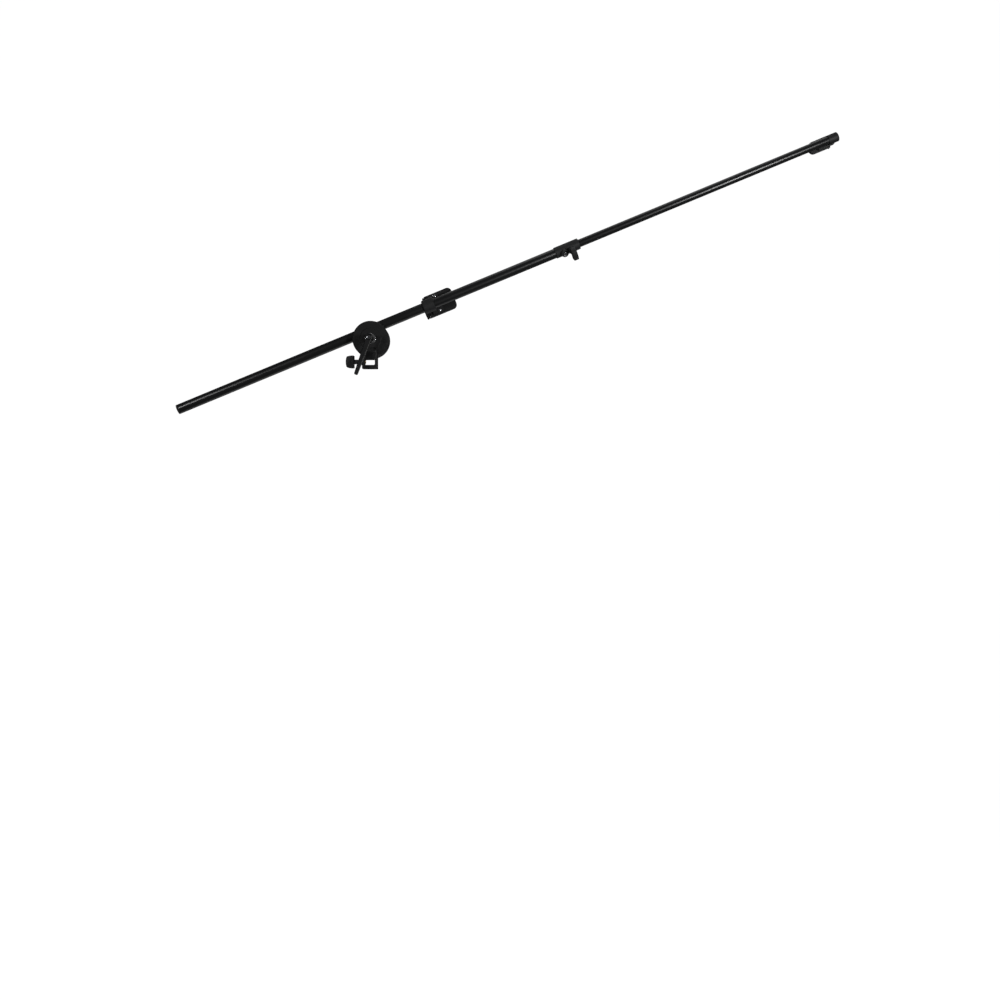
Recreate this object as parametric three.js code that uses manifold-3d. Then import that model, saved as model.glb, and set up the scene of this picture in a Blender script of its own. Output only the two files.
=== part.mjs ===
// A telescopic arm that holds a fabric reflector beside a lighting stand.
// A cast socket drops over the stand's stud, a lever-clamped grip head carries the arm,
// and two sprung clips behind the tubes hold the reflector's rim.
// Millimetres. +X towards the arm's raised end, +Y away from the viewer, +Z up.
// The origin is the blind end of the stud socket, on the socket's axis.
import * as THREE from "three";
import { mergeVertices } from "three/addons/utils/BufferGeometryUtils.js";
import Module from "manifold-3d";

const wasm = await Module();
wasm.setup();

// Fits shared by all pieces
const seatGap = 0.3;
const runningGap = 0.3;
const cutOverrun = 3;
const wideFaces = 40;
const pinFaces = 16;
const degree = Math.PI / 180;

// Arm as it stands in the photograph
const armTilt = 22.5 * degree;
const gripFromTail = 420;

// Stand stud and the cast socket that takes it
const studRadius = 8;
const socketDepth = 30;
const socketWidth = 31;
const socketThickness = 26;
const socketRoof = 4.5;
const socketCorner = 5;
const socketFlange = 3;
const socketFlangeRise = 1.2;
const windowWidth = 21;
const windowHeight = 12;
const windowDrop = 17.5;

// Screw and knob that lock the stud
const studScrewRadius = 3.95;
const studScrewDrop = 16.5;
const studBossRadius = 6.5;
const studBossLength = 5;
const studTipLength = 2.2;
const studKnobReach = 24;
const studNeckRadius = 4.7;
const studNeckLength = 7.6;
const studWingDepth = 17.2;

// Wing of both knobs
const wingSpan = 25.4;
const wingTipSpan = 21.2;
const wingThickness = 11;
const wingBulge = 1.6;
const wingEdge = 1.4;

// Fixed disc of the grip head, cast with the socket
const boltRise = 31;
const headRadius = 36.6;
const fixedDiscFront = 5;
const fixedDiscThickness = 8;
const plateauRadius = 22.5;
const plateauRise = 1.4;
const rimChamfer = 1.8;
const pocketWidth = 18;
const pocketHeight = 8.5;
const pocketDepth = 3;

// Friction ring and clamp discs
const ringThickness = 1.4;
const ringInnerRadius = 13;
const ringOuterRadius = 30;
const clampDiscThickness = 14;
const clampGap = 6.6;
const linerThickness = 1;
const linerInset = 0.6;
const heelStart = 27;
const backPlateauRadius = 24;
const backPlateauRise = 1.6;

// Bolt, its spring and the ratchet lever
const boltRadius = 3.9;
const boltHeadAcross = 13;
const boltHeadHeight = 5.3;
const boltPocketDepth = 3.4;
const springPocketDepth = 3;
const springPocketRadius = 7.2;
const clampWireRadius = 0.65;
const clampCoilRadius = 5.6;
const clampCurls = 4;
const washerRadius = 10.8;
const washerThickness = 1.4;
const insertFlangeRadius = 6.9;
const insertFlangeThickness = 2;
const insertLength = 12.6;
const splineRadius = 5.7;
const splineDepth = 0.7;
const splineTeeth = 14;
const boltInInsert = 9;
const hubRadius = 7.6;
const hubLength = 24;
const hubWeb = 2;
const hubSpringChamber = 5.3;
const leverLength = 80.2;
const leverLean = 18.8 * degree;
const leverCrank = 9;
const leverRootWidth = 12.5;
const leverTipWidth = 8;
const leverRootDepth = 9;
const leverTipDepth = 6.4;
const leverScrewRadius = 2.3;
const leverScrewHeadRadius = 4.6;
const leverScrewHeadHeight = 2;
const leverScrewSlotWidth = 1.2;
const leverScrewSlotDepth = 0.9;
const leverWireRadius = 0.4;
const leverCurls = 4;

// Tubes
const outerTubeRadius = 10;
const outerTubeWall = 1.2;
const outerTubeLength = 876;
const grooveAboveBolt = 9.4;
const tubePlay = 0.8;
const innerTubeWall = 1;
const innerTubeStart = 600;
const innerTubeEnd = 1454.4;
const plugFlange = 3.6;
const plugDepth = 12;
const plugBoreRadius = 5;
const guideLength = 7;
const guidePlug = 10;

// Lock collar at the mouth of the outer tube
const lockSleeveLength = 42;
const lockMouthReach = 10;
const lockWall = 1.2;
const lockLip = 1.6;
const lockBossRadius = 7;
const lockBossRise = 9;
const lockScrewSetback = 9;
const lockAim = 50 * degree;
const lockScrewRadius = 2.95;
const lockShoeRadius = 4;
const lockShoeThickness = 2.9;
const lockShoeTravel = 2.6;
const lockNeckRadius = 5;
const lockNeckGap = 2;
const lockNeckLength = 4;
const lockWingDepth = 16;
const fixingScrewSetback = 25;
const fixingBossRadius = 7.5;
const fixingBossRise = 8;
const fixingScrewRadius = 2;
const fixingHeadRadius = 4.2;
const fixingHeadHeight = 2.4;

// Sprung clips, measured from the tube's axis towards the reflector
const footThickness = 3;
const plateThickness = 2;
const padThickness = 3;
const padGap = 0.6;
const padStart = 13;
const padInset = 2;
const hingePinRadius = 1.5;
const lugRadius = 3.1;
const lugThickness = 2;
const lugInset = 3.5;
const jawCorner = 9;
const plateEdgeSetback = 1;
const handleLean = 10 * degree;
const handleLength = 28;
const handleCorner = 7;
const handleLip = 2.4;
const beadRadius = 1.5;
const jawWireRadius = 0.6;
const jawCoilRadius = 2.4;
const jawCoilPitch = 2.6;
const jawLegLength = 10;
const nearHinge = 550;
const nearJawLength = 59.5;
const nearJawHalfWidth = 22.5;
const nearHandleHalfWidth = 19.5;
const nearCollarWall = 4;
const nearCollarSetback = 7.5;
const nearCollarLength = 24;
const nearFootReach = 14;
const nearFootHalfWidth = 19.5;
const nearScrewInset = 8;
const nearScrewSpread = 15;
const nearScrewRadius = 1.9;
const nearScrewHeadRadius = 3.4;
const nearScrewHeadHeight = 2.2;
const farHingeSetback = 13.4;
const farJawLength = 42;
const farJawHalfWidth = 12;
const farHandleHalfWidth = 10;
const capWall = 1.7;
const capGrip = 17.4;
const capFloor = 3.3;
const capEdge = 1.6;
const farFootLength = 35;
const farFootPastHinge = 8;
const farFootHalfWidth = 10.5;
const farRivetRadius = 1.5;
const farRivetHeadRadius = 2.7;
const farRivetHeadHeight = 1;
const farRivetInsets = [5, 16];
const grubRadius = 2;
const grubLength = 3.4;

// Places that follow from the sizes
const boreRadius = studRadius + runningGap;
const innerDiscFront = fixedDiscFront + fixedDiscThickness + seatGap + ringThickness + seatGap;
const innerDiscFace = innerDiscFront + clampDiscThickness;
const outerDiscFace = innerDiscFace + clampGap;
const outerDiscBack = outerDiscFace + clampDiscThickness;
const tubePlane = (innerDiscFace + outerDiscFace) / 2;
const linerBore = outerTubeRadius + runningGap;
const grooveRadius = linerBore + linerThickness + seatGap;
const tubeOffset = grooveRadius + grooveAboveBolt;
const innerTubeRadius = outerTubeRadius - outerTubeWall - tubePlay;
const lockRadius = outerTubeRadius + seatGap + lockWall;
const lockBossReach = outerTubeRadius + lockBossRise;
const lockNeckReach = lockBossReach + lockNeckGap;
const lockWingStart = lockNeckReach + lockNeckLength;
const fixingBossReach = outerTubeRadius + fixingBossRise;
const footBack = outerTubeRadius + footThickness;
const nearCollarRadius = outerTubeRadius + runningGap + nearCollarWall;
const capRadius = innerTubeRadius + capWall;
const plateauFace = fixedDiscFront - plateauRise;
const washerFront = plateauFace - seatGap - washerThickness;
const insertBack = washerFront - seatGap;
const insertFront = insertBack - insertLength;
const hubBack = insertBack - insertFlangeThickness - seatGap;
const hubFront = hubBack - hubLength;
const webBack = insertFront - seatGap;
const webFront = webBack - hubWeb;
const leverHeadBack = hubFront + leverScrewHeadHeight + seatGap;
const platePlane = footBack + seatGap;
const padPlane = platePlane + plateThickness + seatGap;
const partingPlane = padPlane + padThickness + padGap / 2;
const rearPadPlane = partingPlane + padGap / 2;
const rearPlatePlane = rearPadPlane + padThickness + seatGap;
const lockStart = outerTubeLength - lockSleeveLength;
const lockEnd = outerTubeLength + lockMouthReach;
const lockAxis = outerTubeLength - lockScrewSetback;
const fixingAxis = outerTubeLength - fixingScrewSetback;
const nearCollarStart = nearHinge - nearCollarSetback;
const nearCollarEnd = nearCollarStart + nearCollarLength;
const nearFootEnd = nearCollarEnd + nearFootReach;
const nearScrewAxis = nearFootEnd - nearScrewInset;
const farHinge = innerTubeEnd - farHingeSetback;
const capStart = innerTubeEnd - capGrip;
const capEnd = innerTubeEnd + seatGap + capFloor;
const farFootEnd = farHinge + farFootPastHinge;
const farFootStart = farFootEnd - farFootLength;
const farRivetPlaces = farRivetInsets.map((inset) => farFootStart + inset);

// A closed geometry as a solid, with its faces turned outwards.
function solidOf(geometry) {
  const bare = geometry.clone();
  for (const name of Object.keys(bare.attributes)) {
    if (name !== "position") bare.deleteAttribute(name);
  }
  const merged = mergeVertices(bare, 1e-4);
  const vertProperties = merged.attributes.position.array;
  const triVerts = new Uint32Array(merged.index.array);
  const made = new wasm.Manifold(new wasm.Mesh({ numProp: 3, vertProperties, triVerts }));
  if (made.volume() > 0) return made;
  for (let i = 0; i < triVerts.length; i += 3) {
    [triVerts[i + 1], triVerts[i + 2]] = [triVerts[i + 2], triVerts[i + 1]];
  }
  return new wasm.Manifold(new wasm.Mesh({ numProp: 3, vertProperties, triVerts }));
}

// A solid back as a geometry with flat faces.
function geometryOf(solid) {
  const { vertProperties, triVerts } = solid.getMesh();
  const geometry = new THREE.BufferGeometry();
  geometry.setAttribute("position", new THREE.BufferAttribute(new Float32Array(vertProperties), 3));
  geometry.setIndex(new THREE.BufferAttribute(new Uint32Array(triVerts), 1));
  const flat = geometry.toNonIndexed();
  flat.computeVertexNormals();
  return flat;
}

const join = (...solids) => solids.reduce((whole, solid) => whole.add(solid));
const cut = (body, ...tools) => tools.reduce((rest, tool) => rest.subtract(tool), body);

// Turns a geometry built along Z so that it points along X, Y or Z.
function facing(geometry, axis) {
  if (axis === "x") geometry.rotateY(Math.PI / 2);
  if (axis === "y") geometry.rotateX(-Math.PI / 2);
  return geometry;
}

// A revolved body: its profile lists [radius, distance along the axis].
function turned(profile, axis = "z", faces = wideFaces) {
  const points = profile.map(([radius, along]) => new THREE.Vector2(radius, along));
  const geometry = new THREE.LatheGeometry(points, faces).rotateX(Math.PI / 2);
  return solidOf(facing(geometry, axis));
}

// A round bar between two places on its axis, with optional chamfered ends.
function rod(radius, from, to, axis = "z", faces = pinFaces, chamfer = 0) {
  const low = chamfer > 0 ? [[radius - chamfer, from], [radius, from + chamfer]] : [[radius, from]];
  const high = chamfer > 0 ? [[radius, to - chamfer], [radius - chamfer, to]] : [[radius, to]];
  return turned([[0, from], ...low, ...high, [0, to]], axis, faces);
}

// A straight pipe between two places on its axis.
function pipe(bore, radius, from, to, axis = "z", faces = wideFaces) {
  const profile = [[bore, from], [radius, from], [radius, to], [bore, to], [bore, from]];
  return turned(profile, axis, faces);
}

// A box from its lowest corner to its highest.
function block(low, high) {
  const size = high.map((value, i) => value - low[i]);
  const middle = high.map((value, i) => (value + low[i]) / 2);
  return solidOf(new THREE.BoxGeometry(...size).translate(...middle));
}

// A rectangle with rounded corners, given in its own plane.
function roundedOutline(left, bottom, right, top, radii) {
  const [lowLeft, lowRight, highRight, highLeft] = radii;
  const outline = new THREE.Shape();
  outline.moveTo(left + lowLeft, bottom);
  outline.lineTo(right - lowRight, bottom);
  outline.absarc(right - lowRight, bottom + lowRight, lowRight, -Math.PI / 2, 0, false);
  outline.lineTo(right, top - highRight);
  outline.absarc(right - highRight, top - highRight, highRight, 0, Math.PI / 2, false);
  outline.lineTo(left + highLeft, top);
  outline.absarc(left + highLeft, top - highLeft, highLeft, Math.PI / 2, Math.PI, false);
  outline.lineTo(left, bottom + lowLeft);
  outline.absarc(left + lowLeft, bottom + lowLeft, lowLeft, Math.PI, 1.5 * Math.PI, false);
  return outline;
}

// An outline pushed along Z from one height to another.
function extruded(outline, from, to, edge = 0, steps = 6) {
  const depth = to - from - 2 * edge;
  const bevel = { bevelEnabled: edge > 0, bevelSize: edge, bevelThickness: edge };
  const options = { depth, ...bevel, bevelOffset: -edge, bevelSegments: 2, curveSegments: steps };
  return new THREE.ExtrudeGeometry(outline, options).translate(0, 0, from + edge);
}

// An outline drawn in X and Z, pushed along Y.
function extrudedAlongY(outline, from, to, edge = 0, steps = 6) {
  const geometry = extruded(outline, -to, -from, edge, steps);
  return solidOf(geometry.rotateX(Math.PI / 2));
}

// An outline drawn in X and Y, pushed along Z.
function extrudedAlongZ(outline, from, to, edge = 0, steps = 6) {
  return solidOf(extruded(outline, from, to, edge, steps));
}

// A closed skin over rings that have the same number of points each.
function lofted(rings) {
  const count = rings[0].length;
  const points = rings.flat();
  const faces = [];
  for (let r = 0; r + 1 < rings.length; r++) {
    for (let i = 0; i < count; i++) {
      const a = r * count + i;
      const b = r * count + ((i + 1) % count);
      faces.push(a, b, b + count, a, b + count, a + count);
    }
  }
  const last = (rings.length - 1) * count;
  for (let i = 1; i + 1 < count; i++) {
    faces.push(0, i + 1, i, last, last + i, last + i + 1);
  }
  const geometry = new THREE.BufferGeometry();
  const position = new Float32Array(points.flatMap((point) => point.toArray()));
  geometry.setAttribute("position", new THREE.BufferAttribute(position, 3));
  geometry.setIndex(faces);
  return solidOf(geometry);
}

// A wire of round section, swept through points that a spring's formula gives.
function wire(points, radius, sides = 5) {
  let across = new THREE.Vector3(0, 0, 1);
  const rings = points.map((point, i) => {
    const before = points[Math.max(i - 1, 0)];
    const after = points[Math.min(i + 1, points.length - 1)];
    const along = after.clone().sub(before).normalize();
    across = across.sub(along.clone().multiplyScalar(across.dot(along))).normalize();
    const side = along.clone().cross(across);
    return Array.from({ length: sides }, (_, k) => {
      const angle = (2 * Math.PI * k) / sides;
      const offset = across.clone().multiplyScalar(radius * Math.cos(angle));
      return point.clone().add(offset).addScaledVector(side, radius * Math.sin(angle));
    });
  });
  return lofted(rings);
}

const springStepsPerCurl = 8;
const springClearances = [];

// The middle line of a coil along Z, and the least gap that its turns leave to each other.
function coilPath(name, radius, wireRadius, from, to, curls, startAngle = 0) {
  const steps = Math.round(curls * springStepsPerCurl);
  const points = Array.from({ length: steps + 1 }, (_, i) => {
    const angle = startAngle + (2 * Math.PI * i) / springStepsPerCurl;
    const along = from + ((to - from) * i) / steps;
    return new THREE.Vector3(radius * Math.cos(angle), radius * Math.sin(angle), along);
  });
  let least = Infinity;
  for (let i = 0; i < points.length; i++) {
    for (let j = i + springStepsPerCurl / 2; j < points.length; j++) {
      least = Math.min(least, points[i].distanceTo(points[j]) - 2 * wireRadius);
    }
  }
  springClearances.push(`${name} ${least.toFixed(2)} mm`);
  return points;
}

function material(color, roughness, metalness) {
  return new THREE.MeshStandardMaterial({ color, roughness, metalness });
}

const castBlack = material(0x17181a, 0.62, 0.2);
const coatBlack = material(0x121315, 0.38, 0.3);
const plasticBlack = material(0x1c1d1f, 0.55, 0);
const rubberBlack = material(0x101010, 0.85, 0);
const chrome = material(0xc9ccd0, 0.18, 1);
const steel = material(0x9a9da2, 0.35, 1);
const brass = material(0xb08d3e, 0.35, 1);
const nylon = material(0xd8d6cc, 0.6, 0);

const arm = new THREE.Group();
arm.name = "reflector_holder_arm";

// Each mesh keeps its own material, so that one piece can be recoloured alone.
function piece(parent, name, solid, finish) {
  const mesh = new THREE.Mesh(geometryOf(solid), finish.clone());
  mesh.name = name;
  parent.add(mesh);
  return mesh;
}

// Groups that carry the pieces: the tilted head, the tubes in it, and the two clips.
const head = new THREE.Group();
head.position.set(0, 0, boltRise);
head.rotation.y = -armTilt;
arm.add(head);

const boom = new THREE.Group();
boom.position.set(-gripFromTail, tubePlane, tubeOffset);
head.add(boom);

const nearClip = new THREE.Group();
nearClip.position.x = nearHinge;
boom.add(nearClip);

const farClip = new THREE.Group();
farClip.position.x = farHinge;
farClip.rotation.y = Math.PI;
boom.add(farClip);

const lever = new THREE.Group();
lever.position.set(0, 0, boltRise);
lever.rotation.y = leverLean;
arm.add(lever);

const lock = new THREE.Group();
lock.position.x = lockAxis;
lock.rotation.x = Math.PI - lockAim;
boom.add(lock);

function socketBlock() {
  const half = socketWidth / 2;
  const front = -socketThickness / 2;
  const back = socketThickness / 2;
  const corners = [socketCorner, socketCorner, socketFlange, socketFlange];
  const outline = roundedOutline(-half, front, half, back, corners);
  const body = extrudedAlongZ(outline, -socketDepth, socketRoof, socketFlange / 3);
  const recess = block(
    [-half + socketFlange, front - cutOverrun, -socketDepth - cutOverrun],
    [half - socketFlange, front + socketFlangeRise, socketRoof - socketFlange],
  );
  return cut(body, recess);
}

function fixedDisc() {
  const back = fixedDiscFront + fixedDiscThickness;
  const profile = [
    [0, plateauFace],
    [plateauRadius - plateauRise, plateauFace],
    [plateauRadius, fixedDiscFront],
    [headRadius - rimChamfer, fixedDiscFront],
    [headRadius, fixedDiscFront + rimChamfer],
    [headRadius, back],
    [0, back],
  ];
  const disc = turned(profile, "y").translate([0, 0, boltRise]);
  const half = pocketWidth / 2;
  const pocket = block(
    [-half, plateauFace - cutOverrun, socketRoof],
    [half, fixedDiscFront + pocketDepth, socketRoof + pocketHeight],
  );
  return cut(disc, pocket);
}

function socketBody() {
  const half = socketWidth / 2;
  const bossEnd = -half - studBossLength;
  const boss = rod(studBossRadius, bossEnd, 0, "x", wideFaces / 2, socketFlangeRise);
  const body = join(socketBlock(), fixedDisc(), boss.translate([0, 0, -studScrewDrop]));
  const bore = rod(boreRadius, -socketDepth - cutOverrun, 0, "z", wideFaces);
  const opening = block(
    [-windowWidth / 2, -socketThickness, -windowDrop - windowHeight / 2],
    [windowWidth / 2, socketThickness, -windowDrop + windowHeight / 2],
  );
  const screwHole = rod(studScrewRadius + runningGap, bossEnd - cutOverrun, 0, "x");
  const boltHole = rod(boltRadius + runningGap, -socketThickness, socketThickness, "y");
  const boltTool = boltHole.translate([0, 0, boltRise]);
  return cut(body, bore, opening, screwHole.translate([0, 0, -studScrewDrop]), boltTool);
}

// The wing that fingers turn: flat where the neck joins it, bulged outside, along +Z.
function knobWing(start, depth) {
  const half = wingSpan / 2;
  const tip = wingTipSpan / 2;
  const outline = new THREE.Shape();
  outline.moveTo(-half, start);
  outline.lineTo(half, start);
  outline.lineTo(half, start + depth / 3);
  outline.lineTo(tip, start + depth - wingBulge);
  outline.quadraticCurveTo(0, start + depth + wingBulge, -tip, start + depth - wingBulge);
  outline.lineTo(-half, start + depth / 3);
  outline.closePath();
  return extrudedAlongY(outline, -wingThickness / 2, wingThickness / 2, wingEdge, 8);
}

function buildStudLock() {
  const half = socketWidth / 2;
  const knobInner = -studKnobReach;
  const wingInner = knobInner - studNeckLength;
  const tipBack = -studRadius - runningGap - studTipLength;
  const screwEnd = wingInner - studWingDepth / 2;
  const screw = rod(studScrewRadius, screwEnd, tipBack - seatGap, "x", pinFaces, seatGap);
  piece(arm, "stud_screw", screw.translate([0, 0, -studScrewDrop]), steel);
  const tip = rod(studScrewRadius, tipBack, -studRadius - runningGap, "x", pinFaces, seatGap);
  piece(arm, "stud_screw_tip", tip.translate([0, 0, -studScrewDrop]), brass);
  const neck = rod(studNeckRadius, studKnobReach, studKnobReach + studNeckLength + wingEdge);
  const wing = knobWing(studKnobReach + studNeckLength, studWingDepth);
  const screwHole = rod(studScrewRadius + seatGap, half, -screwEnd + seatGap);
  const knob = cut(join(neck, wing), screwHole);
  piece(arm, "stud_knob", knob.rotate([0, -90, 0]).translate([0, 0, -studScrewDrop]), plasticBlack);
}

// One clamp disc: the tube's groove runs across it above the bolt, and below the bolt
// a heel meets the other disc's heel, so that the two stay parallel as they close.
function clampDisc(grooveFace, backFace, profile) {
  const towards = Math.sign(backFace - grooveFace);
  const heelFace = tubePlane + (towards * seatGap) / 2;
  const heelDepths = [heelFace, grooveFace + towards * seatGap].sort((a, b) => a - b);
  const heelBlock = block(
    [-headRadius, heelDepths[0], -headRadius - cutOverrun],
    [headRadius, heelDepths[1], -heelStart],
  );
  const heel = heelBlock.intersect(rod(headRadius, ...heelDepths, "y", wideFaces));
  const disc = join(turned(profile, "y"), heel);
  const groove = rod(grooveRadius, -headRadius - cutOverrun, headRadius + cutOverrun, "x", wideFaces);
  const springPocket = rod(springPocketRadius, 0, clampGap / 2 + springPocketDepth, "y");
  const pocket = towards > 0 ? springPocket : springPocket.mirror([0, 1, 0]);
  const boltHole = rod(boltRadius + runningGap, innerDiscFront - cutOverrun, outerDiscBack + cutOverrun, "y");
  return cut(
    disc,
    groove.translate([0, tubePlane, tubeOffset]),
    pocket.translate([0, tubePlane, 0]),
    boltHole,
  );
}

// The half sleeve that lines one groove, trimmed to the disc's rim and face.
function grooveLiner(low, high) {
  const sleeve = pipe(linerBore, linerBore + linerThickness, -headRadius, headRadius, "x");
  const rim = rod(headRadius - linerInset, low, high, "y", wideFaces);
  return sleeve.translate([0, tubePlane, tubeOffset]).intersect(rim);
}

function buildClamp() {
  const ringFront = fixedDiscFront + fixedDiscThickness + seatGap;
  const ring = pipe(ringInnerRadius, ringOuterRadius, ringFront, ringFront + ringThickness, "y");
  piece(arm, "friction_ring", ring.translate([0, 0, boltRise]), rubberBlack);

  const innerProfile = [
    [0, innerDiscFront],
    [headRadius - rimChamfer, innerDiscFront],
    [headRadius, innerDiscFront + rimChamfer],
    [headRadius, innerDiscFace],
    [0, innerDiscFace],
  ];
  piece(head, "inner_clamp_disc", clampDisc(innerDiscFace, innerDiscFront, innerProfile), castBlack);

  const outerProfile = [
    [0, outerDiscFace],
    [headRadius, outerDiscFace],
    [headRadius, outerDiscBack - backPlateauRise - rimChamfer],
    [headRadius - rimChamfer, outerDiscBack - backPlateauRise],
    [backPlateauRadius, outerDiscBack - backPlateauRise],
    [backPlateauRadius - backPlateauRise, outerDiscBack],
    [0, outerDiscBack],
  ];
  const hexTool = rod(
    (boltHeadAcross / 2 + seatGap) / Math.cos(Math.PI / 6),
    outerDiscBack - boltPocketDepth,
    outerDiscBack + cutOverrun,
    "y",
    6,
  );
  const outerDisc = cut(clampDisc(outerDiscFace, outerDiscBack, outerProfile), hexTool);
  piece(head, "outer_clamp_disc", outerDisc, castBlack);

  piece(head, "groove_liner_inner", grooveLiner(0, innerDiscFace - seatGap), rubberBlack);
  piece(head, "groove_liner_outer", grooveLiner(outerDiscFace + seatGap, outerDiscBack), rubberBlack);

  const headStart = outerDiscBack - boltPocketDepth + seatGap;
  const shank = rod(boltRadius, insertBack - boltInInsert, headStart + seatGap, "y", pinFaces, seatGap);
  const hexRadius = boltHeadAcross / 2 / Math.cos(Math.PI / 6);
  const hex = rod(hexRadius, headStart, headStart + boltHeadHeight, "y", 6, seatGap);
  piece(head, "clamp_bolt", join(shank, hex), chrome);

  const reach = clampGap / 2 + springPocketDepth - seatGap - clampWireRadius;
  const path = coilPath("clamp_spring", clampCoilRadius, clampWireRadius, -reach, reach, clampCurls);
  const spring = wire(path, clampWireRadius).rotate([-90, 0, 0]);
  piece(head, "clamp_spring", spring.translate([0, tubePlane, 0]), steel);
}

// A toothed outline for the spline, drawn round the axis.
function splineOutline(radius) {
  const outline = new THREE.Shape();
  for (let i = 0; i < 4 * splineTeeth; i++) {
    const angle = (2 * Math.PI * i) / (4 * splineTeeth);
    const reach = i % 4 < 2 ? radius : radius - splineDepth;
    const x = reach * Math.cos(angle);
    const y = reach * Math.sin(angle);
    if (i === 0) outline.moveTo(x, y);
    else outline.lineTo(x, y);
  }
  outline.closePath();
  return outline;
}

// The lever's arm: a ridged section that narrows and cranks forward from the hub to its tip.
function leverArm() {
  const root = hubFront + leverRootDepth / 2;
  const tip = root - leverCrank;
  const stations = [0, 0.12, 0.3, 0.6, 0.9, 0.965, 1];
  const tipShares = [1, 1, 1, 1, 1, 0.86, 0.5];
  const sectionShares = [
    [-0.5, 0],
    [-0.32, -0.42],
    [0.12, -0.5],
    [0.5, -0.16],
    [0.5, 0.24],
    [0.2, 0.5],
    [-0.3, 0.45],
  ];
  const rings = stations.map((share, i) => {
    const width = THREE.MathUtils.lerp(leverRootWidth, leverTipWidth, share) * tipShares[i];
    const depth = THREE.MathUtils.lerp(leverRootDepth, leverTipDepth, share) * tipShares[i];
    const forward = THREE.MathUtils.lerp(root, tip, THREE.MathUtils.smoothstep(share, 0, 1));
    const down = -share * leverLength;
    return sectionShares.map(([x, y]) => new THREE.Vector3(x * width, forward + y * depth, down));
  });
  return lofted(rings);
}

function buildLever() {
  const washer = pipe(boltRadius + runningGap, washerRadius, washerFront, plateauFace - seatGap, "y");
  piece(lever, "lever_washer", washer, chrome);

  const flangeFront = insertBack - insertFlangeThickness;
  const flange = rod(insertFlangeRadius, flangeFront, insertBack, "y", wideFaces / 2);
  const spline = extrudedAlongY(splineOutline(splineRadius), insertFront, insertBack);
  const threadEnd = insertBack - boltInInsert - seatGap;
  const threaded = rod(boltRadius + runningGap, threadEnd, insertBack + cutOverrun, "y");
  const screwBore = rod(leverScrewRadius + seatGap, insertFront - cutOverrun, insertBack, "y");
  piece(lever, "lever_insert", cut(join(flange, spline), threaded, screwBore), steel);

  const hub = turned([
    [0, hubFront],
    [hubRadius - wingEdge, hubFront],
    [hubRadius, hubFront + wingEdge],
    [hubRadius, hubBack],
    [0, hubBack],
  ], "y", wideFaces / 2);
  const splineBore = extrudedAlongY(splineOutline(splineRadius + runningGap), webBack, hubBack + cutOverrun);
  const chamber = rod(hubSpringChamber, hubFront - cutOverrun, webFront, "y");
  const shankBore = rod(leverScrewRadius + runningGap, webFront - cutOverrun, webBack + cutOverrun, "y");
  const coreRoom = rod(hubRadius - wingEdge, hubFront - leverCrank, hubBack, "y");
  const armOutside = cut(leverArm(), coreRoom);
  piece(lever, "lever_handle", cut(join(hub, armOutside), splineBore, chamber, shankBore), castBlack);

  const headFront = leverHeadBack - leverScrewHeadHeight;
  const shankEnd = insertBack - boltInInsert - 2 * seatGap;
  const shank = rod(leverScrewRadius, leverHeadBack - seatGap, shankEnd, "y", pinFaces);
  const capHead = rod(leverScrewHeadRadius, headFront, leverHeadBack, "y", pinFaces, seatGap);
  const slot = block(
    [-leverScrewHeadRadius - cutOverrun, headFront - cutOverrun, -leverScrewSlotWidth / 2],
    [leverScrewHeadRadius + cutOverrun, headFront + leverScrewSlotDepth, leverScrewSlotWidth / 2],
  );
  piece(lever, "lever_screw", cut(join(shank, capHead), slot), chrome);

  const springRadius = (leverScrewRadius + hubSpringChamber) / 2;
  const springFrom = leverHeadBack + seatGap + leverWireRadius;
  const springTo = webFront - seatGap - leverWireRadius;
  const path = coilPath("lever_spring", springRadius, leverWireRadius, -springTo, -springFrom, leverCurls);
  piece(lever, "lever_spring", wire(path, leverWireRadius).rotate([90, 0, 0]), steel);
}

function buildOuterTube() {
  const bore = outerTubeRadius - outerTubeWall;
  const wall = pipe(bore, outerTubeRadius, plugFlange + seatGap, outerTubeLength, "x");
  const shoeHole = rod(lockShoeRadius + seatGap, 0, lockRadius + cutOverrun);
  const screwHole = rod(fixingScrewRadius + seatGap, 0, lockRadius + cutOverrun);
  const turnedHole = (hole, along) => aimed(hole).translate([along, 0, 0]);
  const tube = cut(wall, turnedHole(shoeHole, lockAxis), turnedHole(screwHole, fixingAxis));
  piece(boom, "outer_tube", tube, coatBlack);

  const plug = turned([
    [plugBoreRadius, plugFlange],
    [0, plugFlange],
    [0, 0],
    [outerTubeRadius - seatGap, 0],
    [outerTubeRadius, seatGap],
    [outerTubeRadius, plugFlange],
    [bore - seatGap, plugFlange],
    [bore - 2 * seatGap, plugFlange + plugDepth],
    [plugBoreRadius, plugFlange + plugDepth],
    [plugBoreRadius, plugFlange],
  ], "x");
  piece(boom, "rear_plug", plug, plasticBlack);
}

// Turns a solid built along Z so that it points from the tube's axis to the lock knob.
function aimed(solid) {
  return solid.rotate([180 - lockAim / degree, 0, 0]);
}

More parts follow.
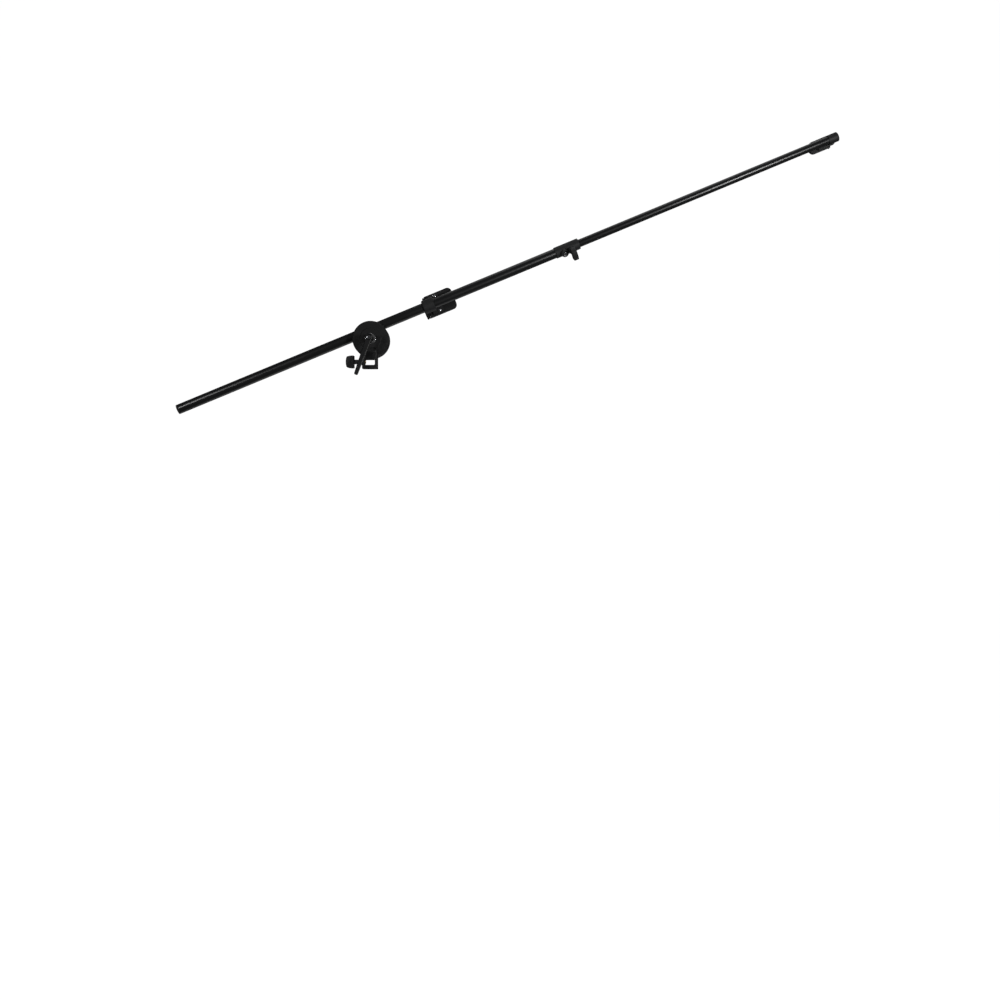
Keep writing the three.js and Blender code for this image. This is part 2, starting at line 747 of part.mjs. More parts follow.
function buildLockCollar() {
  const lipBore = innerTubeRadius + 2 * runningGap;
  const sleeveBore = outerTubeRadius + seatGap;
  const sleeve = turned([
    [sleeveBore, lockStart],
    [lockRadius - seatGap, lockStart],
    [lockRadius, lockStart + seatGap],
    [lockRadius, lockEnd - lockLip],
    [lockRadius - lockLip, lockEnd],
    [lipBore, lockEnd],
    [lipBore, lockEnd - lockLip],
    [sleeveBore, lockEnd - lockLip],
    [sleeveBore, lockStart],
  ], "x");
  const knobBoss = rod(lockBossRadius, sleeveBore, lockBossReach, "z", wideFaces / 2, seatGap);
  const screwBoss = rod(fixingBossRadius, sleeveBore, fixingBossReach, "z", wideFaces / 2, seatGap);
  const bosses = join(
    aimed(knobBoss).translate([lockAxis, 0, 0]),
    aimed(screwBoss).translate([fixingAxis, 0, 0]),
  );
  const room = rod(sleeveBore, lockStart - cutOverrun, lockEnd - lockLip, "x", wideFaces);
  const knobHole = rod(lockScrewRadius + runningGap, 0, lockBossReach + cutOverrun);
  const shoeRoom = innerTubeRadius + runningGap + lockShoeThickness + lockShoeTravel;
  const shoeHole = rod(lockShoeRadius + seatGap, 0, shoeRoom);
  const screwHole = rod(fixingScrewRadius + seatGap, 0, fixingBossReach + cutOverrun);
  const knobTool = aimed(join(knobHole, shoeHole)).translate([lockAxis, 0, 0]);
  const body = cut(join(sleeve, cut(bosses, room)), knobTool);
  piece(boom, "lock_collar", cut(body, aimed(screwHole).translate([fixingAxis, 0, 0])), plasticBlack);

  const bush = pipe(
    innerTubeRadius + runningGap,
    sleeveBore - seatGap,
    outerTubeLength + seatGap,
    lockEnd - lockLip - seatGap,
    "x",
  );
  piece(boom, "lock_bush", bush, nylon);

  const fixingSeat = fixingBossReach + seatGap;
  const fixing = join(
    rod(fixingScrewRadius, outerTubeRadius - outerTubeWall, fixingSeat + seatGap),
    rod(fixingHeadRadius, fixingSeat, fixingSeat + fixingHeadHeight, "z", pinFaces, 3 * seatGap),
  );
  piece(boom, "lock_fixing_screw", aimed(fixing).translate([fixingAxis, 0, 0]), chrome);
}

function buildLockKnob() {
  const shoeStart = innerTubeRadius + runningGap;
  const shoeEnd = shoeStart + lockShoeThickness;
  const screwEnd = lockWingStart + lockWingDepth / 2;
  const shoe = rod(lockShoeRadius, shoeStart, shoeEnd);
  const tubeRoom = rod(innerTubeRadius + runningGap, -lockRadius, lockRadius, "x", wideFaces);
  piece(lock, "lock_shoe", cut(shoe, tubeRoom), brass);
  piece(lock, "lock_screw", rod(lockScrewRadius, shoeEnd + seatGap, screwEnd, "z", pinFaces, seatGap), steel);
  const neck = rod(lockNeckRadius, lockNeckReach, lockWingStart + wingEdge);
  const wing = knobWing(lockWingStart, lockWingDepth).rotate([0, 0, 90]);
  const screwHole = rod(lockScrewRadius + seatGap, lockNeckReach - cutOverrun, screwEnd + seatGap);
  piece(lock, "lock_knob", cut(join(neck, wing), screwHole), plasticBlack);
}

function buildInnerTube() {
  const bore = innerTubeRadius - innerTubeWall;
  const tube = pipe(bore, innerTubeRadius, innerTubeStart, innerTubeEnd, "x");
  piece(boom, "inner_tube", tube, coatBlack);
  const guideRadius = outerTubeRadius - outerTubeWall - runningGap;
  const guide = turned([
    [0, innerTubeStart - guideLength],
    [guideRadius - seatGap, innerTubeStart - guideLength],
    [guideRadius, innerTubeStart - guideLength + seatGap],
    [guideRadius, innerTubeStart - seatGap],
    [bore - seatGap, innerTubeStart - seatGap],
    [bore - 2 * seatGap, innerTubeStart + guidePlug],
    [0, innerTubeStart + guidePlug],
  ], "x", wideFaces / 2);
  piece(boom, "guide_bush", guide, nylon);
}

// The lug that holds the hinge pin, from a plate's near face round the pin.
function hingeLug(plateFace, thickness, low) {
  const reach = 2 * lugRadius;
  const outline = new THREE.Shape();
  const side = Math.sign(plateFace - partingPlane);
  outline.moveTo(-lugRadius, partingPlane);
  outline.absarc(0, partingPlane, lugRadius, Math.PI, 0, side < 0);
  outline.lineTo(reach, plateFace);
  outline.lineTo(-plateThickness / 2, plateFace);
  outline.closePath();
  const lug = extrudedAlongZ(outline, low, low + thickness, 0, 10);
  const pinHole = rod(hingePinRadius + runningGap, low - cutOverrun, low + thickness + cutOverrun);
  return cut(lug, pinHole.translate([0, partingPlane, 0]));
}

function lugPair(plateFace, outerEdge) {
  const low = hingeLug(plateFace, lugThickness, -outerEdge);
  return join(low, hingeLug(plateFace, lugThickness, outerEdge - lugThickness));
}

function jawPlate(start, length, halfWidth, from, to) {
  const radii = [plateThickness, jawCorner, jawCorner, plateThickness];
  return extrudedAlongY(roundedOutline(start, -halfWidth, length, halfWidth, radii), from, to);
}

function frontJaw(length, halfWidth) {
  const plate = jawPlate(plateEdgeSetback, length, halfWidth, platePlane, platePlane + plateThickness);
  return join(plate, lugPair(platePlane + plateThickness / 2, halfWidth - lugInset));
}

// The moving jaw: plate, two pressed beads, lugs, and a handle folded back with a curled lip.
function rearJaw(length, halfWidth, handleHalfWidth) {
  const back = rearPlatePlane + plateThickness;
  const start = -lugRadius;
  const plate = jawPlate(start, length, halfWidth, rearPlatePlane, back);
  const bead = rod(beadRadius, jawCorner, length - jawCorner, "x", 10, beadRadius / 2);
  const beads = [-halfWidth / 2, halfWidth / 2].map((z) => bead.translate([0, back, z]));
  const lugs = lugPair(rearPlatePlane + plateThickness / 2, halfWidth - lugInset - lugThickness - seatGap);
  const fold = rod(plateThickness / 2, -handleHalfWidth, handleHalfWidth, "z", 12);
  const radii = [plateThickness / 4, plateThickness / 4, handleCorner, handleCorner];
  const blade = roundedOutline(-handleHalfWidth, 0, handleHalfWidth, handleLength, radii);
  const handle = extrudedAlongZ(blade, -plateThickness / 2, plateThickness / 2);
  const lipLength = handleHalfWidth - handleCorner;
  const lip = rod(handleLip / 2, -lipLength, lipLength, "z", 12);
  const lipPlace = [-handleLength * Math.sin(handleLean), handleLength * Math.cos(handleLean), 0];
  const upright = handle.rotate([0, 90, 0]).rotate([0, 0, handleLean / degree]);
  const hinge = [start + plateThickness / 2, rearPlatePlane + plateThickness / 2, 0];
  return join(
    plate,
    ...beads,
    lugs,
    fold.translate(hinge),
    upright.translate(hinge),
    lip.translate(lipPlace.map((value, i) => value + hinge[i])),
  );
}

function jawPad(length, halfWidth, from) {
  const inner = halfWidth - padInset;
  const radii = [padInset, jawCorner - padInset, jawCorner - padInset, padInset];
  const outline = roundedOutline(padStart, -inner, length - padInset, inner, radii);
  return extrudedAlongY(outline, from, from + padThickness);
}

// A torsion spring round the pin, with a leg along each jaw.
function jawSpring(name, halfWidth) {
  const span = halfWidth - lugInset - 2 * lugThickness - 3 * seatGap - 2 * jawWireRadius;
  const curls = Math.max(1, Math.round((2 * span) / jawCoilPitch)) + 0.5;
  const path = coilPath(name, jawCoilRadius, jawWireRadius, -span, span, curls, -Math.PI / 2);
  const first = path[0].clone().add(new THREE.Vector3(jawLegLength, 0, 0));
  const last = path[path.length - 1].clone().add(new THREE.Vector3(jawLegLength, 0, 0));
  return wire([first, ...path, last], jawWireRadius).translate([0, partingPlane, 0]);
}

function buildJaws(clip, prefix, length, halfWidth, handleHalfWidth, plateCuts) {
  const spread = halfWidth - lugInset;
  const pin = rod(hingePinRadius, -spread - plateThickness, spread + plateThickness, "z", pinFaces, seatGap);
  piece(clip, `${prefix}_front_jaw`, cut(frontJaw(length, halfWidth), ...plateCuts), coatBlack);
  piece(clip, `${prefix}_rear_jaw`, rearJaw(length, halfWidth, handleHalfWidth), coatBlack);
  piece(clip, `${prefix}_front_pad`, jawPad(length, halfWidth, padPlane), rubberBlack);
  piece(clip, `${prefix}_rear_pad`, jawPad(length, halfWidth, rearPadPlane), rubberBlack);
  piece(clip, `${prefix}_hinge_pin`, pin.translate([0, partingPlane, 0]), steel);
  piece(clip, `${prefix}_spring`, jawSpring(`${prefix}_spring`, halfWidth), steel);
}

function buildNearClip() {
  const start = nearCollarStart - nearHinge;
  const end = nearCollarEnd - nearHinge;
  const bore = outerTubeRadius + runningGap;
  const collar = turned([
    [bore, start],
    [nearCollarRadius - wingEdge, start],
    [nearCollarRadius, start + wingEdge],
    [nearCollarRadius, end - wingEdge],
    [nearCollarRadius - wingEdge, end],
    [bore, end],
    [bore, start],
  ], "x");
  const backTrim = block(
    [start - cutOverrun, footBack, -nearCollarRadius],
    [end + cutOverrun, nearCollarRadius + cutOverrun, nearCollarRadius],
  );
  const footEnd = nearFootEnd - nearHinge;
  const footRadii = [plateThickness, socketCorner, socketCorner, plateThickness];
  const footStart = end - 2 * socketCorner;
  const footOutline = roundedOutline(footStart, -nearFootHalfWidth, footEnd, nearFootHalfWidth, footRadii);
  const foot = extrudedAlongY(footOutline, bore, footBack);
  const screwAt = nearScrewAxis - nearHinge;
  const shaft = rod(nearScrewRadius, bore - seatGap, platePlane + plateThickness, "y");
  const headBack = bore - seatGap;
  const cap = rod(nearScrewHeadRadius, headBack - nearScrewHeadHeight, headBack, "y", pinFaces, 2 * seatGap);
  const screw = join(shaft, cap);
  const hole = rod(nearScrewRadius + seatGap, 0, partingPlane, "y");
  const places = [-nearScrewSpread, nearScrewSpread].map((z) => [screwAt, 0, z]);
  const holes = places.map((place) => hole.translate(place));
  const grubAt = (start + end) / 2 - plateThickness;
  const grubTop = bore + seatGap + grubLength;
  const grubHole = rod(grubRadius + seatGap, outerTubeRadius, nearCollarRadius + cutOverrun);
  const body = cut(join(cut(collar, backTrim), foot), ...holes, grubHole.translate([grubAt, 0, 0]));
  const tubeRoom = rod(bore, start - cutOverrun, footEnd + cutOverrun, "x", wideFaces);
  piece(nearClip, "near_clip_collar", cut(body, tubeRoom), plasticBlack);
  const grub = rod(grubRadius, bore, grubTop, "z", pinFaces, seatGap);
  piece(nearClip, "near_grub_screw", grub.translate([grubAt, 0, 0]), steel);
  piece(nearClip, "near_lower_screw", screw.translate(places[0]), chrome);
  piece(nearClip, "near_upper_screw", screw.translate(places[1]), chrome);
  buildJaws(nearClip, "near", nearJawLength, nearJawHalfWidth, nearHandleHalfWidth, holes);
}

function buildFarClip() {
  const along = (place) => farHinge - place;
  const bore = innerTubeRadius + runningGap;
  const end = along(capEnd);
  const floor = along(innerTubeEnd + seatGap);
  const cap = turned([
    [0, end],
    [capRadius - capEdge, end],
    [capRadius, end + capEdge],
    [capRadius, along(capStart)],
    [bore, along(capStart)],
    [bore, floor],
    [0, floor],
  ], "x");
  const footRadii = [plateThickness, plateThickness, plateThickness, plateThickness];
  const footFrom = along(farFootEnd);
  const footTo = along(farFootStart);
  const outline = roundedOutline(footFrom, -farFootHalfWidth, footTo, farFootHalfWidth, footRadii);
  const foot = extrudedAlongY(outline, 0, footBack);
  const tubeRoom = rod(bore, floor, along(farFootStart) + cutOverrun, "x", wideFaces);
  const frontTrim = block(
    [along(farFootEnd) - cutOverrun, -cutOverrun, -capRadius - cutOverrun],
    [along(farFootStart) + cutOverrun, innerTubeRadius / 2, capRadius + cutOverrun],
  );
  const rivetHole = rod(farRivetRadius + seatGap, 0, partingPlane, "y");
  const headRoom = rod(
    farRivetHeadRadius + seatGap,
    platePlane + plateThickness - farRivetHeadHeight - seatGap,
    partingPlane,
    "y",
  );
  const rivetTools = farRivetPlaces.map((place) => join(rivetHole, headRoom).translate([along(place), 0, 0]));
  const grubAt = along((capStart + innerTubeEnd) / 2);
  const grubHole = rod(grubRadius + seatGap, innerTubeRadius, capRadius + cutOverrun);
  const solidFoot = cut(foot, frontTrim);
  const body = cut(join(cap, solidFoot), tubeRoom, grubHole.translate([grubAt, 0, 0]), ...rivetTools);
  piece(farClip, "far_clip_cap", body, plasticBlack);
  const grub = rod(grubRadius, bore, capRadius + seatGap, "z", pinFaces, seatGap);
  piece(farClip, "far_grub_screw", grub.translate([grubAt, 0, 0]), steel);
  const plateBack = platePlane + plateThickness;
  const rivet = join(
    rod(farRivetRadius, bore + seatGap, plateBack - seatGap, "y"),
    rod(farRivetHeadRadius, plateBack - farRivetHeadHeight, plateBack, "y"),
  );
  farRivetPlaces.forEach((place, i) => {
    piece(farClip, `far_rivet_${i + 1}`, rivet.translate([along(place), 0, 0]), steel);
  });
  buildJaws(farClip, "far", farJawLength, farJawHalfWidth, farHandleHalfWidth, rivetTools);
}

piece(arm, "socket_body", socketBody(), castBlack);
buildStudLock();
buildClamp();
buildLever();
buildOuterTube();
buildLockCollar();
buildLockKnob();
buildInnerTube();
buildNearClip();
buildFarClip();
console.log(`least gap between a spring's own turns: ${springClearances.join(", ")}`);

export default arm;
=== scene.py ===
import math

import bpy
from mathutils import Matrix, Vector


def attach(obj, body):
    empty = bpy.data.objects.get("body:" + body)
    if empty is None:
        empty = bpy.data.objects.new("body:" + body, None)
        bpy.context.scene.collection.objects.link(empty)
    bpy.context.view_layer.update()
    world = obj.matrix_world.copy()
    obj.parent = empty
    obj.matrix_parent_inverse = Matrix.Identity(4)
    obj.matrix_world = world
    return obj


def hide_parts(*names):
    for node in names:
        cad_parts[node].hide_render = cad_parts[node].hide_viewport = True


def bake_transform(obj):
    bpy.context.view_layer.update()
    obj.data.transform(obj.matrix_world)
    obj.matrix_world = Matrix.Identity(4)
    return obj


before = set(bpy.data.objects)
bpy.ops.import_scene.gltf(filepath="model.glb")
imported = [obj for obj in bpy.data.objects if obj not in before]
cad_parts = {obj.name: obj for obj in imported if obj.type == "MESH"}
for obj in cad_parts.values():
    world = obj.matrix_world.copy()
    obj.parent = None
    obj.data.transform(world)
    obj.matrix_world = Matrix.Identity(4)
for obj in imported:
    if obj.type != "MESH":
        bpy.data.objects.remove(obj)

MM = 0.001
DEGREE = math.pi / 180
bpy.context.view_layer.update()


# Studio: a pale seamless sheet sweeps from the floor up behind the arm. Two soft boxes in
# front draw one thin line along each black tube, and dim lamps behind it light the rims.
FLOOR_HEIGHT = -1.23
SWEEP_BACK = 2.6
SWEEP_RADIUS = 1.2
SWEEP_HALF_WIDTH = 6.0
SWEEP_FRONT = -5.0
SWEEP_TOP = 4.5
SWEEP_STEPS = 24

bpy.ops.object.select_all(action="DESELECT")
bpy.ops.mesh.primitive_plane_add(size=1, location=(0, 0, FLOOR_HEIGHT))
backdrop = bpy.context.object
backdrop.name = "studio_sweep"
backdrop.scale = (2 * SWEEP_HALF_WIDTH, SWEEP_BACK - SWEEP_RADIUS - SWEEP_FRONT, 1)
backdrop.location.y = (SWEEP_BACK - SWEEP_RADIUS + SWEEP_FRONT) / 2
bpy.ops.object.transform_apply(location=True, rotation=False, scale=True)
bpy.ops.object.mode_set(mode="EDIT")
bpy.ops.mesh.select_mode(type="EDGE")
bpy.ops.mesh.select_all(action="DESELECT")
bpy.ops.object.mode_set(mode="OBJECT")
for edge in backdrop.data.edges:
    ends = [backdrop.data.vertices[i].co.y for i in edge.vertices]
    edge.select = min(ends) > SWEEP_BACK - SWEEP_RADIUS - MM
bpy.ops.object.mode_set(mode="EDIT")
turn = 90 / SWEEP_STEPS * DEGREE
for step in range(SWEEP_STEPS):
    slope = (step + 0.5) * turn
    chord = 2 * SWEEP_RADIUS * math.sin(turn / 2)
    move = (0, chord * math.cos(slope), chord * math.sin(slope))
    bpy.ops.mesh.extrude_region_move(TRANSFORM_OT_translate={"value": move})
rise = SWEEP_TOP - FLOOR_HEIGHT - SWEEP_RADIUS
bpy.ops.mesh.extrude_region_move(TRANSFORM_OT_translate={"value": (0, 0, rise)})
bpy.ops.object.mode_set(mode="OBJECT")
bpy.ops.object.shade_smooth()
backdrop.visible_glossy = False
backdrop.visible_diffuse = False
backdrop.visible_shadow = False


class Signal:
    """A shader socket that Python's own arithmetic can be written on."""

    def __init__(self, tree, socket):
        self.tree = tree
        self.socket = socket

    def maths(self, operation, first, second=0.0, clamp=False):
        node = self.tree.nodes.new("ShaderNodeMath")
        node.operation = operation
        node.use_clamp = clamp
        for inlet, value in zip(node.inputs, (first, second)):
            if isinstance(value, Signal):
                self.tree.links.new(value.socket, inlet)
            else:
                inlet.default_value = value
        return Signal(self.tree, node.outputs[0])

    def __add__(self, other):
        return self.maths("ADD", self, other)

    def __radd__(self, other):
        return self.maths("ADD", other, self)

    def __sub__(self, other):
        return self.maths("SUBTRACT", self, other)

    def __rsub__(self, other):
        return self.maths("SUBTRACT", other, self)

    def __mul__(self, other):
        return self.maths("MULTIPLY", self, other)

    def limited(self):
        return self.maths("ADD", self, 0.0, clamp=True)

    def over(self, threshold, sharpness):
        return self.maths("MULTIPLY", self - threshold, sharpness, clamp=True)


class Finish:
    """A material: constants go on the shader's own sockets, patterns come from node()."""

    def __init__(self, name, constants):
        self.material = bpy.data.materials.new(name)
        self.material.use_nodes = True
        self.tree = self.material.node_tree
        self.shader = self.tree.nodes["Principled BSDF"]
        for socket, value in constants.items():
            self.shader.inputs[socket].default_value = value

    def node(self, kind, settings=None, sockets=None, output=0):
        made = self.tree.nodes.new("ShaderNode" + kind)
        for name, value in (settings or {}).items():
            setattr(made, name, value)
        for socket, value in (sockets or {}).items():
            inlet = made.inputs[socket]
            if isinstance(value, Signal):
                self.tree.links.new(value.socket, inlet)
            else:
                inlet.default_value = value
        return Signal(self.tree, made.outputs[output])

    def place(self, stretch=(1, 1, 1), turned=0.0, shift=(0, 0, 0)):
        here = self.node("TexCoord", output="Object")
        return self.node("Mapping", {}, {
            "Vector": here, "Scale": stretch, "Rotation": (0, turned, 0), "Location": shift,
        })

    def noise(self, place, scale, detail=3.0, rough=0.55):
        return self.node("TexNoise", {}, {
            "Vector": place, "Scale": scale, "Detail": detail, "Roughness": rough,
        })

    def edges(self, radius):
        """1 on an outside or inside edge that this radius reaches, 0 on open faces."""
        rounded = self.node("Bevel", {"samples": 4}, {"Radius": radius})
        plain = self.node("NewGeometry", output="Normal")
        along = self.node("VectorMath", {"operation": "DOT_PRODUCT"}, {0: rounded, 1: plain}, "Value")
        return (1 - along).over(0.02, 6.0)

    def blend(self, mask, below, above):
        made = self.tree.nodes.new("ShaderNodeMix")
        made.data_type = "RGBA"
        for inlet, value in ((0, mask), (6, below), (7, above)):
            if isinstance(value, Signal):
                self.tree.links.new(value.socket, made.inputs[inlet])
            elif inlet == 0:
                made.inputs[inlet].default_value = value
            else:
                made.inputs[inlet].default_value = (*value, 1.0)
        return Signal(self.tree, made.outputs[2])

    def drive(self, socket, signal):
        self.tree.links.new(signal.socket, self.shader.inputs[socket])

    def relief(self, height, distance, strength):
        sockets = {"Height": height, "Distance": distance, "Strength": strength}
        self.drive("Normal", self.node("Bump", {}, sockets))


paper = Finish("sweep_paper", {"Roughness": 0.9, "Specular IOR Level": 0.1})
grain = paper.noise(paper.place(), 3.0, 2.0)
paper.drive("Base Color", paper.blend(grain, (0.30, 0.30, 0.30), (0.32, 0.32, 0.32)))
paper.drive("Emission Color", paper.blend(grain, (0.98, 0.98, 0.98), (1.0, 1.0, 1.0)))
paper.shader.inputs["Emission Strength"].default_value = 0.96
backdrop.data.materials.append(paper.material)

LAMPS = [
    ("lamp_left", (-1.8, -2.1, 0.3), 0.45, 15),
    ("lamp_right", (1.98, -2.18, -0.03), 0.45, 36),
    ("lamp_above", (0.3, 0.1, 2.3), 1.6, 8),
    ("lamp_below", (0.4, 1.0, -1.5), 1.6, 5.5),
    ("lamp_behind", (0.4, 1.9, 1.7), 1.8, 9),
]
LAMP_AIM = Vector((0.2, 0.0, 0.1))
ROOM_LIGHT = 0.06
for lamp_name, lamp_place, lamp_size, lamp_power in LAMPS:
    bpy.ops.object.light_add(type="AREA", location=lamp_place)
    lamp = bpy.context.object
    lamp.name = lamp_name
    lamp.data.size = lamp_size
    lamp.data.energy = lamp_power
    lamp.rotation_euler = (LAMP_AIM - lamp.location).to_track_quat("-Z", "Y").to_euler()

world = bpy.data.worlds.new("studio_air")
bpy.context.scene.world = world
world.use_nodes = True
air = world.node_tree.nodes["Background"]
air.inputs["Color"].default_value = (1, 1, 1, 1)
seen = world.node_tree.nodes.new("ShaderNodeLightPath")
level = world.node_tree.nodes.new("ShaderNodeMapRange")
level.inputs["To Min"].default_value = ROOM_LIGHT
level.inputs["To Max"].default_value = 1.0
world.node_tree.links.new(seen.outputs["Is Camera Ray"], level.inputs["Value"])
world.node_tree.links.new(level.outputs["Result"], air.inputs["Strength"])
bpy.context.scene.view_settings.view_transform = "Standard"


# Camera: level, 2.56 m in front of the arm, with the lens that gives the photograph's frame
# of 1000 by 1000.
CAMERA_PLACE = (0.2618, -2.556, -0.2947)
SENSOR_WIDTH = 36.0
FOCAL_SHARE = 1.268

bpy.ops.object.camera_add(location=CAMERA_PLACE, rotation=(math.pi / 2, 0, 0))
camera = bpy.context.object
camera.data.sensor_width = SENSOR_WIDTH
camera.data.lens = SENSOR_WIDTH * FOCAL_SHARE
camera.data.clip_end = 50
bpy.context.scene.camera = camera


# Outer tube: a drawn metal tube with a smooth, slightly glossy black powder coat. The grip
# head clamps it, and its tail end is closed by a plug.
ARM_TILT = 22.5 * DEGREE
BOLT_RISE = 31 * MM
TUBE_PLANE = 32.3 * MM
TUBE_OFFSET = 21 * MM
GRIP_FROM_TAIL = 420 * MM
OUTER_RADIUS = 10 * MM
OUTER_WALL = 1.2 * MM
OUTER_START = 3.9 * MM
OUTER_END = 876 * MM
TUBE_EDGE = 0.35 * MM
SMOOTH_ANGLE = 32 * DEGREE
ROUND_SIDES = 96

HEAD_FRAME = Matrix.Translation((0, 0, BOLT_RISE)) @ Matrix.Rotation(-ARM_TILT, 4, "Y")
BOOM_FRAME = HEAD_FRAME @ Matrix.Translation((-GRIP_FROM_TAIL, TUBE_PLANE, TUBE_OFFSET))
ALONG_X = Matrix.Rotation(math.pi / 2, 4, "Y")
ALONG_Y = Matrix.Rotation(-math.pi / 2, 4, "X")


def pick(obj):
    """Makes obj the only selected object and the active one."""
    bpy.ops.object.select_all(action="DESELECT")
    obj.select_set(True)
    bpy.context.view_layer.objects.active = obj


def put(obj, frame_of_piece):
    """Moves the mesh of obj into place and leaves the object itself at the origin."""
    pick(obj)
    obj.matrix_world = frame_of_piece @ obj.matrix_world
    bpy.ops.object.transform_apply(location=True, rotation=True, scale=True)
    return obj


def turned(profile, sides=ROUND_SIDES, closed=False):
    """A body turned about Z: a circle is extruded and resized through (radius, height) pairs.
    A closed profile comes back to its first ring and has no end faces."""
    first_radius, first_height = profile[0]
    bpy.ops.object.select_all(action="DESELECT")
    fill = "NOTHING" if closed else "NGON"
    bpy.ops.mesh.primitive_circle_add(
        vertices=sides, radius=first_radius, fill_type=fill, location=(0, 0, first_height))
    obj = bpy.context.object
    bpy.ops.object.transform_apply(location=True, rotation=False, scale=False)
    bpy.ops.object.mode_set(mode="EDIT")
    bpy.ops.mesh.select_mode(type="EDGE" if closed else "FACE")
    bpy.ops.mesh.select_all(action="SELECT")
    rings = list(profile[1:]) + ([profile[0]] if closed else [])
    for (radius, height), (last_radius, last_height) in zip(rings, profile):
        bpy.ops.mesh.extrude_region_move(
            TRANSFORM_OT_translate={"value": (0, 0, height - last_height)})
        share = radius / last_radius
        bpy.ops.transform.resize(value=(share, share, 1), center_override=(0, 0, height))
    bpy.ops.mesh.select_all(action="SELECT")
    if closed:
        bpy.ops.mesh.remove_doubles(threshold=0.002 * MM)
    bpy.ops.mesh.normals_make_consistent(inside=False)
    bpy.ops.object.mode_set(mode="OBJECT")
    return obj


def plain_ring(inner, outer, low, high):
    """A ring or tube about Z with square ends."""
    return turned([(inner, low), (outer, low), (outer, high), (inner, high)], closed=True)


def rounded_edges(obj, width, segments=3, angle=38 * DEGREE):
    """Bevels each edge whose faces meet at more than angle."""
    pick(obj)
    modifier = obj.modifiers.new("edge", "BEVEL")
    modifier.width = width
    modifier.segments = segments
    modifier.limit_method = "ANGLE"
    modifier.angle_limit = angle
    bpy.ops.object.modifier_apply(modifier=modifier.name)
    return obj


def dress(obj, name, body, finish, nodes):
    """Names a finished piece, gives it its finish and hangs it on its body, if it has one."""
    pick(obj)
    bpy.ops.object.shade_smooth_by_angle(angle=SMOOTH_ANGLE)
    obj.name = name
    obj.data.name = name
    obj.data.materials.clear()
    obj.data.materials.append(finish.material)
    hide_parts(*nodes)
    if body:
        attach(obj, body)
    return obj


def keep_solid(node, finish):
    """Leaves a hidden piece as its solid and only gives it a finish."""
    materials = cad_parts[node].data.materials
    materials.clear()
    materials.append(finish.material)


def powder_coat(name, turned_by, shift):
    """Black powder coat: fine orange peel, a few hair scratches along the tube, faint dust."""
    coat = Finish(name, {"Specular IOR Level": 0.5, "Metallic": 0.0})
    lengthwise = coat.place((1, 1, 1), turned_by, shift)
    stretched = coat.node("Mapping", {}, {"Vector": lengthwise, "Scale": (6, 420, 420)})
    scratch = coat.noise(stretched, 6.0, 2.0).over(0.68, 14.0)
    peel = coat.noise(lengthwise, 900.0, 1.0)
    cloud = coat.noise(lengthwise, 16.0, 3.0)
    dust = coat.noise(lengthwise, 2600.0, 2.0).over(0.66, 8.0) * cloud.over(0.45, 3.0)
    rubbed = coat.edges(0.5 * MM) * coat.noise(lengthwise, 300.0).over(0.35, 3.0)
    black = coat.blend(cloud, (0.0085, 0.0088, 0.0095), (0.0115, 0.0118, 0.0125))
    dusty = coat.blend(dust * 0.35, black, (0.11, 0.105, 0.1))
    coat.drive("Base Color", coat.blend(rubbed * 0.25, dusty, (0.09, 0.09, 0.09)))
    coat.drive("Roughness", 0.25 + cloud * 0.1 + scratch * 0.16 + dust * 0.2)
    coat.relief(peel * 0.5 + cloud * 0.3 - scratch * 0.25, 0.012 * MM, 0.5)
    return coat


outer_coat = powder_coat("outer_tube_coat", ARM_TILT, (0, 0, 0))
outer_tube = plain_ring(OUTER_RADIUS - OUTER_WALL, OUTER_RADIUS, OUTER_START, OUTER_END)
rounded_edges(outer_tube, TUBE_EDGE)
put(outer_tube, BOOM_FRAME @ ALONG_X)
dress(outer_tube, "outer_tube_drawn", "boom", outer_coat, ["outer_tube"])


# Tail plug: moulded black plastic, pushed into the tube's lower end up to its flange, with
# a hollow core that the mould leaves and a slightly rounded face.
PLUG_FLANGE = 3.6 * MM
PLUG_DEPTH = 12 * MM
PLUG_CORE = 5 * MM
PLUG_EDGE = 0.8 * MM
PLUG_GAP = 0.3 * MM
PLUG_DISH_RADIUS = 6.4 * MM
PLUG_DISH_DEPTH = 0.7 * MM
PLUG_CENTRE = 2 * MM


def moulded_plastic(name, shift=(0, 0, 0), dark=1.0):
    """Glass-filled black plastic: a fine satin grain, edges polished by hands, faint flow."""
    plastic = Finish(name, {"Specular IOR Level": 0.45, "Metallic": 0.0})
    here = plastic.place(shift=shift)
    grain = plastic.noise(here, 1500.0, 2.0)
    flow = plastic.noise(plastic.place((1, 1, 3), 0.4, shift), 60.0, 4.0)
    polished = plastic.edges(0.9 * MM)
    low = tuple(dark * shade for shade in (0.0115, 0.0118, 0.0125))
    high = tuple(dark * shade for shade in (0.0165, 0.0168, 0.0175))
    body = plastic.blend(flow, low, high)
    dust = plastic.noise(here, 2300.0, 2.0).over(0.68, 9.0) * flow.over(0.5, 4.0)
    pale_edged = plastic.blend(polished * 0.3, body, (0.045, 0.045, 0.046))
    plastic.drive("Base Color", plastic.blend(dust * 0.3, pale_edged, (0.13, 0.125, 0.12)))
    plastic.drive("Roughness", 0.5 + grain * 0.12 - polished * 0.14 + flow * 0.06)
    plastic.relief(grain + flow * 0.6, 0.02 * MM, 0.7)
    return plastic


